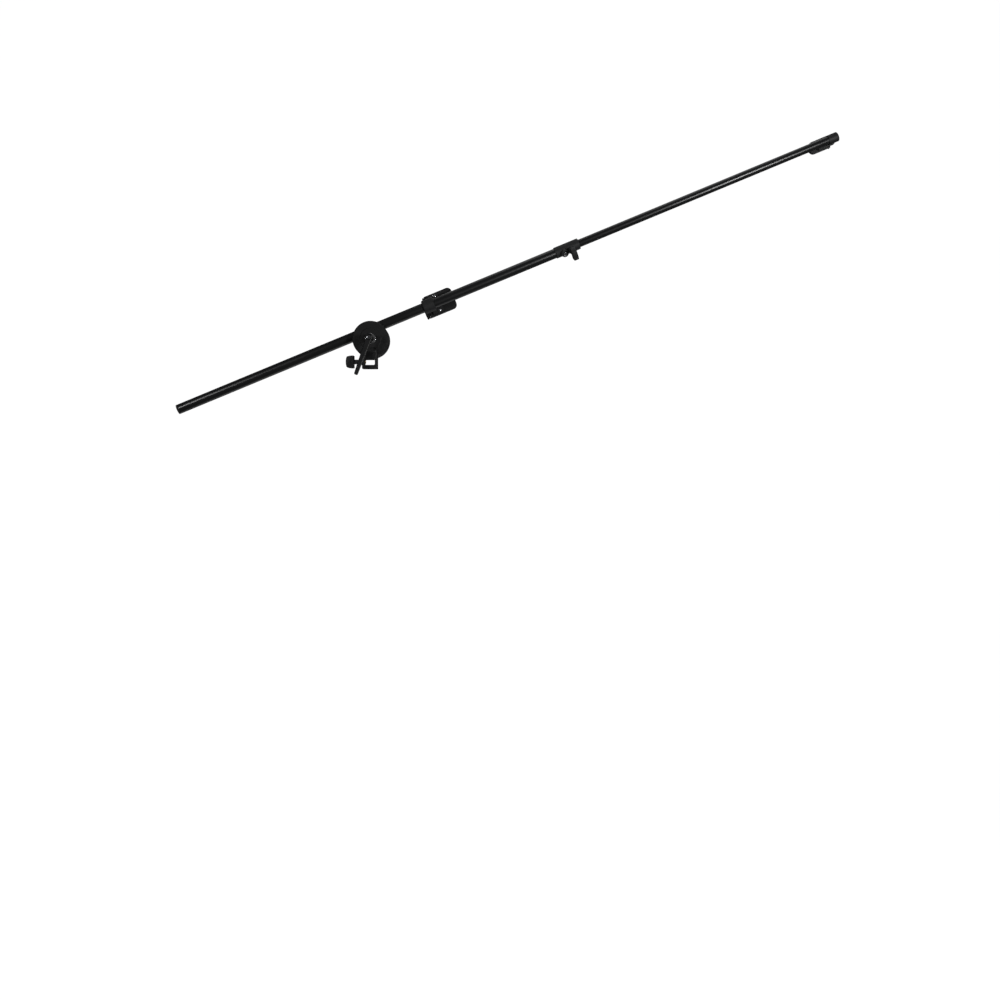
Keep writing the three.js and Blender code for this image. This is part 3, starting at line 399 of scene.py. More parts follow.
plug_plastic = moulded_plastic("tail_plug_plastic")
bore = OUTER_RADIUS - OUTER_WALL
rear_plug = turned([
    (PLUG_CORE, PLUG_FLANGE + PLUG_DEPTH),
    (bore - 2 * PLUG_GAP, PLUG_FLANGE + PLUG_DEPTH),
    (bore - PLUG_GAP, PLUG_FLANGE),
    (OUTER_RADIUS, PLUG_FLANGE),
    (OUTER_RADIUS, 0),
    (PLUG_DISH_RADIUS + PLUG_DISH_DEPTH, 0),
    (PLUG_DISH_RADIUS, PLUG_DISH_DEPTH),
    (PLUG_CENTRE / 2, PLUG_DISH_DEPTH),
    (PLUG_CENTRE / 2, PLUG_FLANGE),
    (PLUG_CORE, PLUG_FLANGE),
], closed=True)
pick(rear_plug)
bpy.ops.object.mode_set(mode="EDIT")
bpy.ops.mesh.select_all(action="DESELECT")
bpy.ops.object.mode_set(mode="OBJECT")
# The ring next to the axis is drawn in onto it, which closes the plug's floor.
for vertex in rear_plug.data.vertices:
    vertex.select = vertex.co.xy.length < PLUG_CENTRE
bpy.ops.object.mode_set(mode="EDIT")
bpy.ops.transform.resize(value=(0, 0, 1), center_override=(0, 0, 0))
bpy.ops.mesh.select_all(action="SELECT")
bpy.ops.mesh.remove_doubles(threshold=0.002 * MM)
bpy.ops.object.mode_set(mode="OBJECT")
rounded_edges(rear_plug, PLUG_EDGE, 4, 60 * DEGREE)
put(rear_plug, BOOM_FRAME @ ALONG_X)
dress(rear_plug, "tail_plug", "boom", plug_plastic, ["rear_plug"])


# Inner tube: the thinner powder-coated tube that draws out of the outer one, with a nylon
# guide pressed onto its hidden end.
INNER_RADIUS = 8 * MM
INNER_WALL = 1 * MM
INNER_START = 600 * MM
INNER_END = 1454.4 * MM

inner_coat = powder_coat("inner_tube_coat", ARM_TILT, (0.4, 0.2, 0.1))
inner_tube = plain_ring(INNER_RADIUS - INNER_WALL, INNER_RADIUS, INNER_START, INNER_END)
rounded_edges(inner_tube, TUBE_EDGE)
put(inner_tube, BOOM_FRAME @ ALONG_X)
dress(inner_tube, "inner_tube_drawn", "extension", inner_coat, ["inner_tube"])


# Socket casting: one black-painted casting with the block that drops over the stand's stud,
# the boss for its screw, and the fixed front disc of the grip head.
SOCKET_HALF = 15.5 * MM
SOCKET_FRONT = 13 * MM
SOCKET_DEPTH = 30 * MM
SOCKET_ROOF = 4.5 * MM
SOCKET_CORNER = 4.6 * MM
SOCKET_FLANGE = 3 * MM
SOCKET_RECESS = 1.2 * MM
STUD_BORE = 8.3 * MM
WINDOW_HALF_WIDTH = 10.5 * MM
WINDOW_LOW = -23.5 * MM
WINDOW_HIGH = -11.5 * MM
WINDOW_CORNER = 2 * MM
SCREW_DROP = 16.5 * MM
BOSS_RADIUS = 6.5 * MM
BOSS_END = 20.5 * MM
SCREW_BORE = 4.25 * MM
HEAD_RADIUS = 36.6 * MM
RIM_CHAMFER = 1.8 * MM
FIXED_FRONT = 5 * MM
FIXED_BACK = 13 * MM
PLATEAU_RADIUS = 22.5 * MM
PLATEAU_RISE = 1.4 * MM
POCKET_HALF = 9 * MM
POCKET_HEIGHT = 8.5 * MM
POCKET_DEPTH = 3 * MM
BOLT_BORE = 4.2 * MM
OVERRUN = 3 * MM
CAST_EDGE = 0.7 * MM
CAST_ANGLE = 34 * DEGREE


def slab(low, high):
    """A cube primitive set to its lowest and highest corner."""
    bpy.ops.object.select_all(action="DESELECT")
    middle = [(a + b) / 2 for a, b in zip(low, high)]
    bpy.ops.mesh.primitive_cube_add(size=1, location=middle)
    obj = bpy.context.object
    obj.scale = [b - a for a, b in zip(low, high)]
    bpy.ops.object.transform_apply(location=True, rotation=False, scale=True)
    return obj


def shaped(obj, *tools, how="DIFFERENCE"):
    """Cuts the tools from obj, or joins or trims it with them, and removes the tools."""
    for tool in tools:
        pick(obj)
        modifier = obj.modifiers.new("shape", "BOOLEAN")
        modifier.operation = how
        modifier.solver = "EXACT"
        modifier.object = tool
        bpy.ops.object.modifier_apply(modifier=modifier.name)
        bpy.data.objects.remove(tool)
    return obj


def bar(radius, low, high, sides=64):
    """A round bar about Z, or with few sides a prism."""
    return turned([(radius, low), (radius, high)], sides)


def extruded(outline, from_y, to_y):
    """A plate in the XZ plane: a circle primitive takes the outline's points and is extruded."""
    bpy.ops.object.select_all(action="DESELECT")
    bpy.ops.mesh.primitive_circle_add(vertices=len(outline), radius=1, fill_type="NGON", location=(0, 0, 0))
    plate = bpy.context.object
    for vertex, (x, z) in zip(plate.data.vertices, outline):
        vertex.co = (x, from_y, z)
    bpy.ops.object.mode_set(mode="EDIT")
    bpy.ops.mesh.select_mode(type="FACE")
    bpy.ops.mesh.select_all(action="SELECT")
    bpy.ops.mesh.extrude_region_move(TRANSFORM_OT_translate={"value": (0, to_y - from_y, 0)})
    bpy.ops.mesh.select_all(action="SELECT")
    bpy.ops.mesh.normals_make_consistent(inside=False)
    bpy.ops.object.mode_set(mode="OBJECT")
    return plate


def standing_edges(obj, width, segments=4):
    """Rounds only the edges that run along Z, as the corners of a block."""
    pick(obj)
    bpy.ops.object.mode_set(mode="EDIT")
    bpy.ops.mesh.select_mode(type="EDGE")
    bpy.ops.mesh.select_all(action="DESELECT")
    bpy.ops.object.mode_set(mode="OBJECT")
    for edge in obj.data.edges:
        a, b = (obj.data.vertices[i].co for i in edge.vertices)
        edge.select = (a - b).xy.length < 0.01 * MM
    bpy.ops.object.mode_set(mode="EDIT")
    bpy.ops.mesh.bevel(offset=width, segments=segments, affect="EDGES")
    bpy.ops.object.mode_set(mode="OBJECT")
    return obj


PAINTED_HIGHLIGHT_HALF = 0.9 * MM  # half width of the painted highlight line along the lever's lit edge


def cast_paint(name, shift=(0, 0, 0), painted_highlight=None):
    """Paint over a sand-cast alloy: a lumpy skin under the paint, pits, and rubbed edges.
    The fourth argument is (turn, origin, ridge, taper): along X = ridge + taper * Z a pale band is painted,
    a painted highlight where that edge catches the light."""
    paint = Finish(name, {"Specular IOR Level": 0.32, "Metallic": 0.0})
    here = paint.place(shift=shift)
    skin = paint.noise(here, 420.0, 4.0, 0.6)
    broad = paint.noise(here, 55.0, 3.0)
    pits = paint.node("TexVoronoi", {}, {"Vector": here, "Scale": 700.0})
    pit = (1 - pits).over(0.86, 8.0) * broad.over(0.4, 3.0)
    edge = paint.edges(0.9 * MM) * skin.over(0.38, 3.5)
    black = paint.blend(broad, (0.006, 0.0062, 0.0067), (0.0096, 0.0098, 0.0104))
    pale_edged = paint.blend(edge * 0.3, black, (0.07, 0.07, 0.07))
    if painted_highlight:
        turn, origin, ridge, taper = painted_highlight
        local = {"Vector": paint.place(turned=turn, shift=origin)}
        across = paint.node("SeparateXYZ", {}, local, "X")
        along = paint.node("SeparateXYZ", {}, local, "Z")
        # The pale band along that line is a painted highlight: it stands in for light caught by the edge,
        # and the skin breaks it up.
        off_ridge = across.maths("ABSOLUTE", across - along * taper - ridge)
        band = (1 - off_ridge * (1 / PAINTED_HIGHLIGHT_HALF)).limited() * skin.over(0.3, 4.0)
        pale_edged = paint.blend(band, pale_edged, (0.13, 0.13, 0.125))
    dust = paint.noise(here, 1900.0, 2.0).over(0.67, 8.0) * broad.over(0.5, 4.0)
    paint.drive("Base Color", paint.blend(dust * 0.3, pale_edged, (0.12, 0.115, 0.11)))
    paint.drive("Roughness", 0.46 + skin * 0.16 - edge * 0.08)
    paint.relief(skin * 0.8 + broad * 0.8 - pit * 0.7, 0.05 * MM, 0.75)
    return paint


socket_paint = cast_paint("socket_paint")
socket = slab((-SOCKET_HALF, -SOCKET_FRONT, -SOCKET_DEPTH), (SOCKET_HALF, SOCKET_FRONT, SOCKET_ROOF))
standing_edges(socket, SOCKET_CORNER)
shaped(socket, slab(
    (-SOCKET_HALF + SOCKET_FLANGE, -SOCKET_FRONT - OVERRUN, -SOCKET_DEPTH - OVERRUN),
    (SOCKET_HALF - SOCKET_FLANGE, -SOCKET_FRONT + SOCKET_RECESS, SOCKET_ROOF - SOCKET_FLANGE)))
disc = turned([
    (PLATEAU_RADIUS - PLATEAU_RISE, FIXED_FRONT - PLATEAU_RISE),
    (PLATEAU_RADIUS, FIXED_FRONT),
    (HEAD_RADIUS - RIM_CHAMFER, FIXED_FRONT),
    (HEAD_RADIUS, FIXED_FRONT + RIM_CHAMFER),
    (HEAD_RADIUS, FIXED_BACK),
])
put(disc, Matrix.Translation((0, 0, BOLT_RISE)) @ ALONG_Y)
STUD_FRAME = Matrix.Translation((0, 0, -SCREW_DROP)) @ Matrix.Rotation(-math.pi / 2, 4, "Y")
boss = put(bar(BOSS_RADIUS, 0, BOSS_END), STUD_FRAME)
shaped(socket, disc, boss, how="UNION")
bore_tool = bar(STUD_BORE, -SOCKET_DEPTH - OVERRUN, 0, 72)
window = slab((-WINDOW_HALF_WIDTH, -SOCKET_FRONT - OVERRUN, WINDOW_LOW),
              (WINDOW_HALF_WIDTH, SOCKET_FRONT + OVERRUN, WINDOW_HIGH))
standing_edges(put(window, Matrix.Rotation(math.pi / 2, 4, "X")), WINDOW_CORNER)
put(window, Matrix.Rotation(-math.pi / 2, 4, "X"))
screw_tool = put(bar(SCREW_BORE, 0, BOSS_END + OVERRUN, 40), STUD_FRAME)
bolt_tool = put(bar(BOLT_BORE, -FIXED_BACK, FIXED_BACK + OVERRUN, 40),
                Matrix.Translation((0, 0, BOLT_RISE)) @ ALONG_Y)
pocket = slab((-POCKET_HALF, 0, SOCKET_ROOF),
              (POCKET_HALF, FIXED_FRONT + POCKET_DEPTH, SOCKET_ROOF + POCKET_HEIGHT))
shaped(socket, bore_tool, window, screw_tool, bolt_tool, pocket)
rounded_edges(socket, CAST_EDGE, 3, CAST_ANGLE)
dress(socket, "socket_casting", "socket", socket_paint, ["socket_body"])


# Clamp discs: two black-painted castings with a lined groove that the tube lies in. Below
# the bolt a heel keeps them apart, so that the bolt's pull closes the groove.
DISC_FRONT = 15 * MM
INNER_FACE = 29 * MM
OUTER_FACE = 35.6 * MM
DISC_BACK = 49.6 * MM
GROOVE_RADIUS = 11.6 * MM
HEEL_START = 27 * MM
HEEL_GAP = 0.15 * MM
HEEL_ROOT = 1 * MM
BACK_PLATEAU = 24 * MM
BACK_RISE = 1.6 * MM
SPRING_POCKET = 7.2 * MM
SPRING_REACH = 6.3 * MM
HEX_ROOM = 7.9 * MM
HEX_DEPTH = 3.4 * MM
DISC_EDGE = 0.5 * MM

disc_paint = cast_paint("clamp_disc_paint", (0.3, 0.1, 0.2))
inner_disc = turned([
    (HEAD_RADIUS - RIM_CHAMFER, DISC_FRONT),
    (HEAD_RADIUS, DISC_FRONT + RIM_CHAMFER),
    (HEAD_RADIUS, INNER_FACE),
])
outer_disc = turned([
    (HEAD_RADIUS, OUTER_FACE),
    (HEAD_RADIUS, DISC_BACK - BACK_RISE - RIM_CHAMFER),
    (HEAD_RADIUS - RIM_CHAMFER, DISC_BACK - BACK_RISE),
    (BACK_PLATEAU, DISC_BACK - BACK_RISE),
    (BACK_PLATEAU - BACK_RISE, DISC_BACK),
])
for disc, face, toward in ((inner_disc, INNER_FACE, -1), (outer_disc, OUTER_FACE, 1)):
    put(disc, ALONG_Y)
    middle = TUBE_PLANE + toward * HEEL_GAP
    heel_ends = sorted((middle, face + toward * HEEL_ROOT))
    heel = put(bar(HEAD_RADIUS, *heel_ends, ROUND_SIDES), ALONG_Y)
    above = slab((-HEAD_RADIUS * 2, 0, -HEEL_START), (HEAD_RADIUS * 2, DISC_BACK * 2, HEAD_RADIUS * 2))
    shaped(heel, above)
    shaped(disc, heel, how="UNION")
    groove = put(bar(GROOVE_RADIUS, -HEAD_RADIUS - OVERRUN, HEAD_RADIUS + OVERRUN, 72),
                 Matrix.Translation((0, TUBE_PLANE, TUBE_OFFSET)) @ ALONG_X)
    spring_room = put(bar(SPRING_POCKET, TUBE_PLANE - SPRING_REACH, TUBE_PLANE + SPRING_REACH, 48), ALONG_Y)
    bolt_room = put(bar(BOLT_BORE, 0, DISC_BACK + OVERRUN, 40), ALONG_Y)
    shaped(disc, groove, spring_room, bolt_room)
hex_room = put(bar(HEX_ROOM, DISC_BACK - HEX_DEPTH, DISC_BACK + OVERRUN, 6), ALONG_Y)
shaped(outer_disc, hex_room)
for disc, name, node in ((inner_disc, "inner_disc_casting", "inner_clamp_disc"),
                         (outer_disc, "outer_disc_casting", "outer_clamp_disc")):
    rounded_edges(disc, DISC_EDGE, 3, CAST_ANGLE)
    put(disc, HEAD_FRAME)
    dress(disc, name, "clamp", disc_paint, [node])


# Friction parts of the head: a rubber ring between the fixed and the inner disc, and a thin
# rubber half sleeve cemented in each groove, which keeps the tube's coat from the casting.
RING_FRONT = 13.3 * MM
RING_BACK = 14.7 * MM
RING_INNER = 13 * MM
RING_OUTER = 30 * MM
RING_EDGE = 0.3 * MM


def black_rubber(name, shift=(0, 0, 0)):
    """Matt rubber: a leathery fine grain, paler where it is rubbed, dust in the hollows."""
    rubber = Finish(name, {"Specular IOR Level": 0.3, "Metallic": 0.0})
    here = rubber.place(shift=shift)
    grain = rubber.noise(here, 1100.0, 4.0, 0.65)
    patch = rubber.noise(here, 90.0, 3.0)
    rubbed = rubber.edges(0.8 * MM) * grain.over(0.35, 3.0)
    tone = rubber.blend(patch, (0.012, 0.012, 0.012), (0.02, 0.0198, 0.0195))
    pale = rubber.blend(rubbed * 0.35, tone, (0.05, 0.049, 0.048))
    rubber.drive("Base Color", rubber.blend(grain.over(0.62, 6.0) * 0.3, pale, (0.07, 0.068, 0.065)))
    rubber.drive("Roughness", 0.78 + grain * 0.16)
    rubber.relief(grain + patch * 0.4, 0.04 * MM, 0.8)
    return rubber


head_rubber = black_rubber("head_rubber")
ring = plain_ring(RING_INNER, RING_OUTER, RING_FRONT, RING_BACK)
rounded_edges(ring, RING_EDGE)
put(ring, Matrix.Translation((0, 0, BOLT_RISE)) @ ALONG_Y)
dress(ring, "friction_washer", "socket", head_rubber, ["friction_ring"])
for liner in ("groove_liner_inner", "groove_liner_outer"):
    keep_solid(liner, head_rubber)


# Clamp bolt and its spring: a plated hex-headed bolt goes through all the discs, and a coil
# of spring wire round it opens the groove when the lever is slackened.
BOLT_RADIUS = 3.9 * MM
BOLT_FRONT = -7.4 * MM
BOLT_CHAMFER = 0.6 * MM
BOLT_ROOT = 0.5 * MM
HEX_FRONT = 46.5 * MM
HEX_HEIGHT = 5.3 * MM
HEX_ACROSS = 13 * MM
CROWN_FALL = 3.6 * MM
CROWN_INSET = 0.3 * MM
CLAMP_COIL = 5.6 * MM
CLAMP_WIRE = 0.65 * MM
CLAMP_REACH = 5.35 * MM
CLAMP_TURNS = 4
COIL_SIDES = 12
COIL_STEPS = 36


def plating(name, shift=(0, 0, 0), tint=(0.78, 0.79, 0.81), rough=0.14):
    """Bright plating: faint wipe marks, tiny pits, and a duller film in patches."""
    plate = Finish(name, {"Metallic": 1.0})
    here = plate.place(shift=shift)
    wipe = plate.noise(plate.place((900, 900, 90), 0.7, shift), 1.0, 2.0)
    film = plate.noise(here, 120.0, 3.0)
    pit = plate.noise(here, 1700.0, 2.0).over(0.68, 10.0)
    dull = tuple(0.72 * part for part in tint)
    toned = plate.blend(film, tint, dull)
    plate.drive("Base Color", plate.blend(pit * 0.4, toned, tuple(0.4 * part for part in tint)))
    plate.drive("Roughness", rough + wipe * 0.08 + film * 0.12 + pit * 0.2)
    plate.relief(wipe * 0.5 - pit, 0.006 * MM, 0.6)
    return plate


bolt_plating = plating("clamp_bolt_plating")
bolt_head = bar(HEX_ACROSS / 2 / math.cos(math.pi / 6), HEX_FRONT, HEX_FRONT + HEX_HEIGHT, 6)
crown = turned([
    (HEX_ACROSS, HEX_FRONT - OVERRUN),
    (HEX_ACROSS, HEX_FRONT + HEX_HEIGHT - CROWN_FALL),
    (HEX_ACROSS / 2 - CROWN_INSET, HEX_FRONT + HEX_HEIGHT),
])
shaped(bolt_head, crown, how="INTERSECT")
shank = turned([
    (BOLT_RADIUS - BOLT_CHAMFER, BOLT_FRONT),
    (BOLT_RADIUS, BOLT_FRONT + BOLT_CHAMFER),
    (BOLT_RADIUS, HEX_FRONT + BOLT_ROOT),
], 48)
shaped(bolt_head, shank, how="UNION")
put(bolt_head, ALONG_Y)
put(bolt_head, HEAD_FRAME)
dress(bolt_head, "clamp_bolt_hex", "clamp", bolt_plating, ["clamp_bolt"])


def wire_piece(points, radius, sides=COIL_SIDES):
    """A wire of round section along points, as a path given a bevel and made a mesh."""
    bpy.ops.object.select_all(action="DESELECT")
    bpy.ops.curve.primitive_nurbs_path_add(location=(0, 0, 0))
    obj = bpy.context.object
    path = obj.data
    path.splines.remove(path.splines[0])
    spline = path.splines.new("POLY")
    spline.points.add(len(points) - 1)
    for point, place in zip(spline.points, points):
        point.co = (*place, 1.0)
    path.bevel_depth = radius
    path.bevel_resolution = max(0, sides // 2 - 2)
    path.use_fill_caps = True
    path.twist_mode = "MINIMUM"
    pick(obj)
    bpy.ops.object.convert(target="MESH")
    bpy.ops.object.mode_set(mode="EDIT")
    bpy.ops.mesh.select_all(action="SELECT")
    bpy.ops.mesh.remove_doubles(threshold=0.001 * MM)
    bpy.ops.mesh.normals_make_consistent(inside=False)
    bpy.ops.object.mode_set(mode="OBJECT")
    return obj


def coil_points(radius, low, high, turns, start=0.0):
    """Points of a helix about Z that rises from low to high in so many turns."""
    count = round(turns * COIL_STEPS)
    angles = [start + 2 * math.pi * i / COIL_STEPS for i in range(count + 1)]
    return [(radius * math.cos(a), radius * math.sin(a), low + (high - low) * i / count)
            for i, a in enumerate(angles)]


def spring_steel(name, shift=(0, 0, 0)):
    """Zinc-plated steel: grey with a faint bluish film, a fine grain and small dull spots."""
    steel = Finish(name, {"Metallic": 1.0})
    here = steel.place(shift=shift)
    film = steel.noise(here, 200.0, 3.0)
    grain = steel.noise(here, 1300.0, 3.0)
    tone = steel.blend(film, (0.42, 0.43, 0.45), (0.56, 0.565, 0.57))
    steel.drive("Base Color", steel.blend(grain.over(0.6, 5.0) * 0.4, tone, (0.25, 0.25, 0.26)))
    steel.drive("Roughness", 0.28 + film * 0.14 + grain * 0.12)
    steel.relief(grain, 0.008 * MM, 0.6)
    return steel


spring_finish = spring_steel("spring_wire_steel")
clamp_spring = wire_piece(coil_points(CLAMP_COIL, -CLAMP_REACH, CLAMP_REACH, CLAMP_TURNS), CLAMP_WIRE)
put(clamp_spring, Matrix.Translation((0, TUBE_PLANE, 0)) @ ALONG_Y)
put(clamp_spring, HEAD_FRAME)
dress(clamp_spring, "clamp_opening_spring", "clamp", spring_finish, ["clamp_spring"])


# Lever: a cast handle on a splined steel insert that is screwed to the bolt. Pulled forward
# against its spring it comes off the splines and can be set to another angle.
LEVER_LEAN = 18.8 * DEGREE
LEVER_FRAME = Matrix.Translation((0, 0, BOLT_RISE)) @ Matrix.Rotation(LEVER_LEAN, 4, "Y")
WASHER_FRONT = 1.9 * MM
WASHER_BACK = 3.3 * MM
WASHER_RADIUS = 10.8 * MM
WASHER_EDGE = 0.45 * MM
HUB_BACK = -0.7 * MM
HUB_FRONT = -24.7 * MM
HUB_RADIUS = 7.6 * MM
HUB_CHAMFER = 1.2 * MM
HUB_WEB = 2 * MM
HUB_EDGE = 0.5 * MM
CHAMBER_RADIUS = 5.3 * MM
CHAMBER_BACK = -13.3 * MM
HUB_BORE = 6.0 * MM
LEVER_LENGTH = 80.2 * MM
ROOT_WIDTH = 12.5 * MM
TIP_WIDTH = 8 * MM
ROOT_DEPTH = 9 * MM
TIP_DEPTH = 6.4 * MM
ARM_EDGE = 0.35 * MM
ARM_ANGLE = 16 * DEGREE
LEVER_CRANK = 8.85 * MM
RIDGE_SHARE = 0.43
LEVER_SCREW_RADIUS = 4.6 * MM
LEVER_SCREW_FRONT = -24.4 * MM
LEVER_SCREW_BACK = -22.4 * MM
LEVER_SCREW_DOME = 1 * MM
LEVER_SHANK = 2.3 * MM
LEVER_SHANK_END = -8 * MM
SHANK_GAP = 0.4 * MM
SCREW_EDGE = 0.15 * MM
SLOT_HALF = 0.6 * MM
SLOT_DEPTH = 0.9 * MM
LEVER_COIL = 3.8 * MM
LEVER_WIRE = 0.4 * MM
LEVER_COIL_FRONT = -21.6 * MM
LEVER_COIL_BACK = -13.9 * MM
LEVER_TURNS = 4

washer = plain_ring(BOLT_BORE, WASHER_RADIUS, WASHER_FRONT, WASHER_BACK)
rounded_edges(washer, WASHER_EDGE, 4)
put(washer, LEVER_FRAME @ ALONG_Y)
washer_plating = plating("lever_washer_plating", (0.2, 0.2, 0.2), (0.8, 0.81, 0.82), 0.12)
dress(washer, "lever_washer_plated", "socket", washer_plating, ["lever_washer"])

lever_origin = (BOLT_RISE * math.sin(LEVER_LEAN), 0, -BOLT_RISE * math.cos(LEVER_LEAN))
# The lever's paint carries a painted highlight: a pale line along the right edge of the arm, where that
# edge catches the light.
ridge_taper = RIDGE_SHARE * (ROOT_WIDTH - TIP_WIDTH) / LEVER_LENGTH
painted_highlight_line = -LEVER_LEAN, lever_origin, RIDGE_SHARE * ROOT_WIDTH, ridge_taper
lever_paint_and_highlight = cast_paint("lever_paint_and_highlight", (0.5, 0.4, 0.1), painted_highlight_line)
hub = turned([
    (HUB_RADIUS - HUB_CHAMFER, HUB_FRONT),
    (HUB_RADIUS, HUB_FRONT + HUB_CHAMFER),
    (HUB_RADIUS, HUB_BACK),
    (HUB_BORE, HUB_BACK),
    (HUB_BORE, CHAMBER_BACK + HUB_WEB),
    (LEVER_SHANK + SHANK_GAP, CHAMBER_BACK + HUB_WEB),
    (LEVER_SHANK + SHANK_GAP, CHAMBER_BACK),
    (CHAMBER_RADIUS, CHAMBER_BACK),
    (CHAMBER_RADIUS, HUB_FRONT),
], closed=True)
rounded_edges(hub, HUB_EDGE, 3)
put(hub, ALONG_Y)

# The arm is a nine-sided section with its ridge near the right edge. It is extruded in short
# steps that narrow it and follow the crank, and the last three round off its tip.
bpy.ops.object.select_all(action="DESELECT")
bpy.ops.mesh.primitive_circle_add(vertices=9, radius=0.5, fill_type="NGON", location=(0, 0, 0))
lever_arm = bpy.context.object
section = [(-0.5, 0.0), (-0.46, -0.26), (-0.34, -0.44), (RIDGE_SHARE, -0.5), (0.48, -0.3),
           (0.5, 0.04), (0.42, 0.38), (0.12, 0.5), (-0.34, 0.42)]
for vertex, (across, deep) in zip(lever_arm.data.vertices, section):
    vertex.co = (across, deep, 0)
bpy.ops.object.mode_set(mode="EDIT")
bpy.ops.mesh.select_mode(type="FACE")
bpy.ops.mesh.select_all(action="SELECT")
bpy.ops.transform.resize(value=(ROOT_WIDTH, ROOT_DEPTH, 1), center_override=(0, 0, 0))
root_line = HUB_FRONT + ROOT_DEPTH / 2
bpy.ops.transform.translate(value=(0, root_line, 0))
stations = [index / 24 for index in range(1, 24)] + [0.975, 0.99, 1.0]
tip_shares = [1] * 23 + [0.96, 0.88, 0.7]


def crank_at(share):
    """How far forward the lever's middle line lies at this share of its length."""
    return -LEVER_CRANK * share * share * (3 - 2 * share)


last_share, last_width, last_depth = 0.0, ROOT_WIDTH, ROOT_DEPTH
for share, tip in zip(stations, tip_shares):
    width = (ROOT_WIDTH + (TIP_WIDTH - ROOT_WIDTH) * share) * tip
    depth = (ROOT_DEPTH + (TIP_DEPTH - ROOT_DEPTH) * share) * tip
    step = (0, crank_at(share) - crank_at(last_share), -(share - last_share) * LEVER_LENGTH)
    bpy.ops.mesh.extrude_region_move(TRANSFORM_OT_translate={"value": step})
    centre = (0, root_line + crank_at(share), -share * LEVER_LENGTH)
    bpy.ops.transform.resize(value=(width / last_width, depth / last_depth, 1), center_override=centre)
    last_share, last_width, last_depth = share, width, depth
bpy.ops.mesh.select_all(action="SELECT")
bpy.ops.mesh.normals_make_consistent(inside=False)
bpy.ops.object.mode_set(mode="OBJECT")
rounded_edges(lever_arm, ARM_EDGE, 3, ARM_ANGLE)
core = put(bar(HUB_RADIUS - HUB_CHAMFER, HUB_FRONT - LEVER_CRANK, HUB_BACK, 64), ALONG_Y)
shaped(lever_arm, core)
shaped(hub, lever_arm, how="UNION")
put(hub, LEVER_FRAME)
dress(hub, "lever_casting", "lever_handle", lever_paint_and_highlight, ["lever_handle"])

screw_plating = plating("lever_screw_plating", (0.1, 0.3, 0.6), (0.42, 0.43, 0.45), 0.06)
lever_screw = turned([
    (LEVER_SCREW_RADIUS - 1.4 * LEVER_SCREW_DOME, LEVER_SCREW_FRONT),
    (LEVER_SCREW_RADIUS - 0.5 * LEVER_SCREW_DOME, LEVER_SCREW_FRONT + 0.3 * LEVER_SCREW_DOME),
    (LEVER_SCREW_RADIUS, LEVER_SCREW_FRONT + LEVER_SCREW_DOME),
    (LEVER_SCREW_RADIUS, LEVER_SCREW_BACK),
    (LEVER_SHANK, LEVER_SCREW_BACK),
    (LEVER_SHANK, LEVER_SHANK_END),
], 64)
put(lever_screw, ALONG_Y)
slot = slab((-LEVER_SCREW_RADIUS * 2, LEVER_SCREW_FRONT - OVERRUN, -SLOT_HALF),
            (LEVER_SCREW_RADIUS * 2, LEVER_SCREW_FRONT + SLOT_DEPTH, SLOT_HALF))
shaped(lever_screw, slot)
rounded_edges(lever_screw, SCREW_EDGE, 2)
put(lever_screw, LEVER_FRAME)
dress(lever_screw, "lever_pivot_screw", "lever_core", screw_plating, ["lever_screw"])
lever_coil = wire_piece(coil_points(LEVER_COIL, LEVER_COIL_FRONT, LEVER_COIL_BACK, LEVER_TURNS), LEVER_WIRE)
put(lever_coil, ALONG_Y)
put(lever_coil, LEVER_FRAME)
dress(lever_coil, "lever_return_spring", None, spring_finish, ["lever_spring"])
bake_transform(lever_coil)
keep_solid("lever_insert", spring_finish)


# Stud screw: a zinc-plated steel screw with a brass tip that presses the stand's stud, and
# the black plastic wing knob moulded round its outer end.
SCREW_RADIUS = 3.95 * MM
SCREW_INNER = 10.8 * MM
SCREW_OUTER = 40.2 * MM
TIP_START = 8.3 * MM
TIP_END = 10.5 * MM
TIP_CHAMFER = 0.6 * MM
THREAD_PITCH = 1.25 * MM
THREAD_WIRE = 0.4 * MM
KNOB_START = 24 * MM
NECK_RADIUS = 4.7 * MM
NECK_LENGTH = 7.6 * MM
WING_DEPTH = 17.2 * MM
WING_SPAN = 25.4 * MM
WING_TIP_SPAN = 21.2 * MM
WING_THICKNESS = 11 * MM
WING_BULGE = 1.6 * MM
WING_EDGE = 1.5 * MM
DIMPLE_RADIUS = 34 * MM
DIMPLE_DEPTH = 0.9 * MM
DIMPLE_SHARE = 0.62
NECK_EDGE = 0.5 * MM
NECK_FLARE = 0.8 * MM
FLARE_RISE = 0.2 * MM


def threaded(radius, low, high):
    """A screw's shank: a core bar with a helical ridge of one pitch to each turn."""
    core = turned([
        (radius - 2 * THREAD_WIRE, low),
        (radius - THREAD_WIRE, low + THREAD_WIRE),
        (radius - THREAD_WIRE, high - THREAD_WIRE),
        (radius - 2 * THREAD_WIRE, high),
    ], 48)
    from_z, to_z = low + 2 * THREAD_WIRE, high - 2 * THREAD_WIRE
    turns = (to_z - from_z) / THREAD_PITCH
    ridge = wire_piece(coil_points(radius - THREAD_WIRE, from_z, to_z, turns), THREAD_WIRE, 8)
    return shaped(core, ridge, how="UNION")


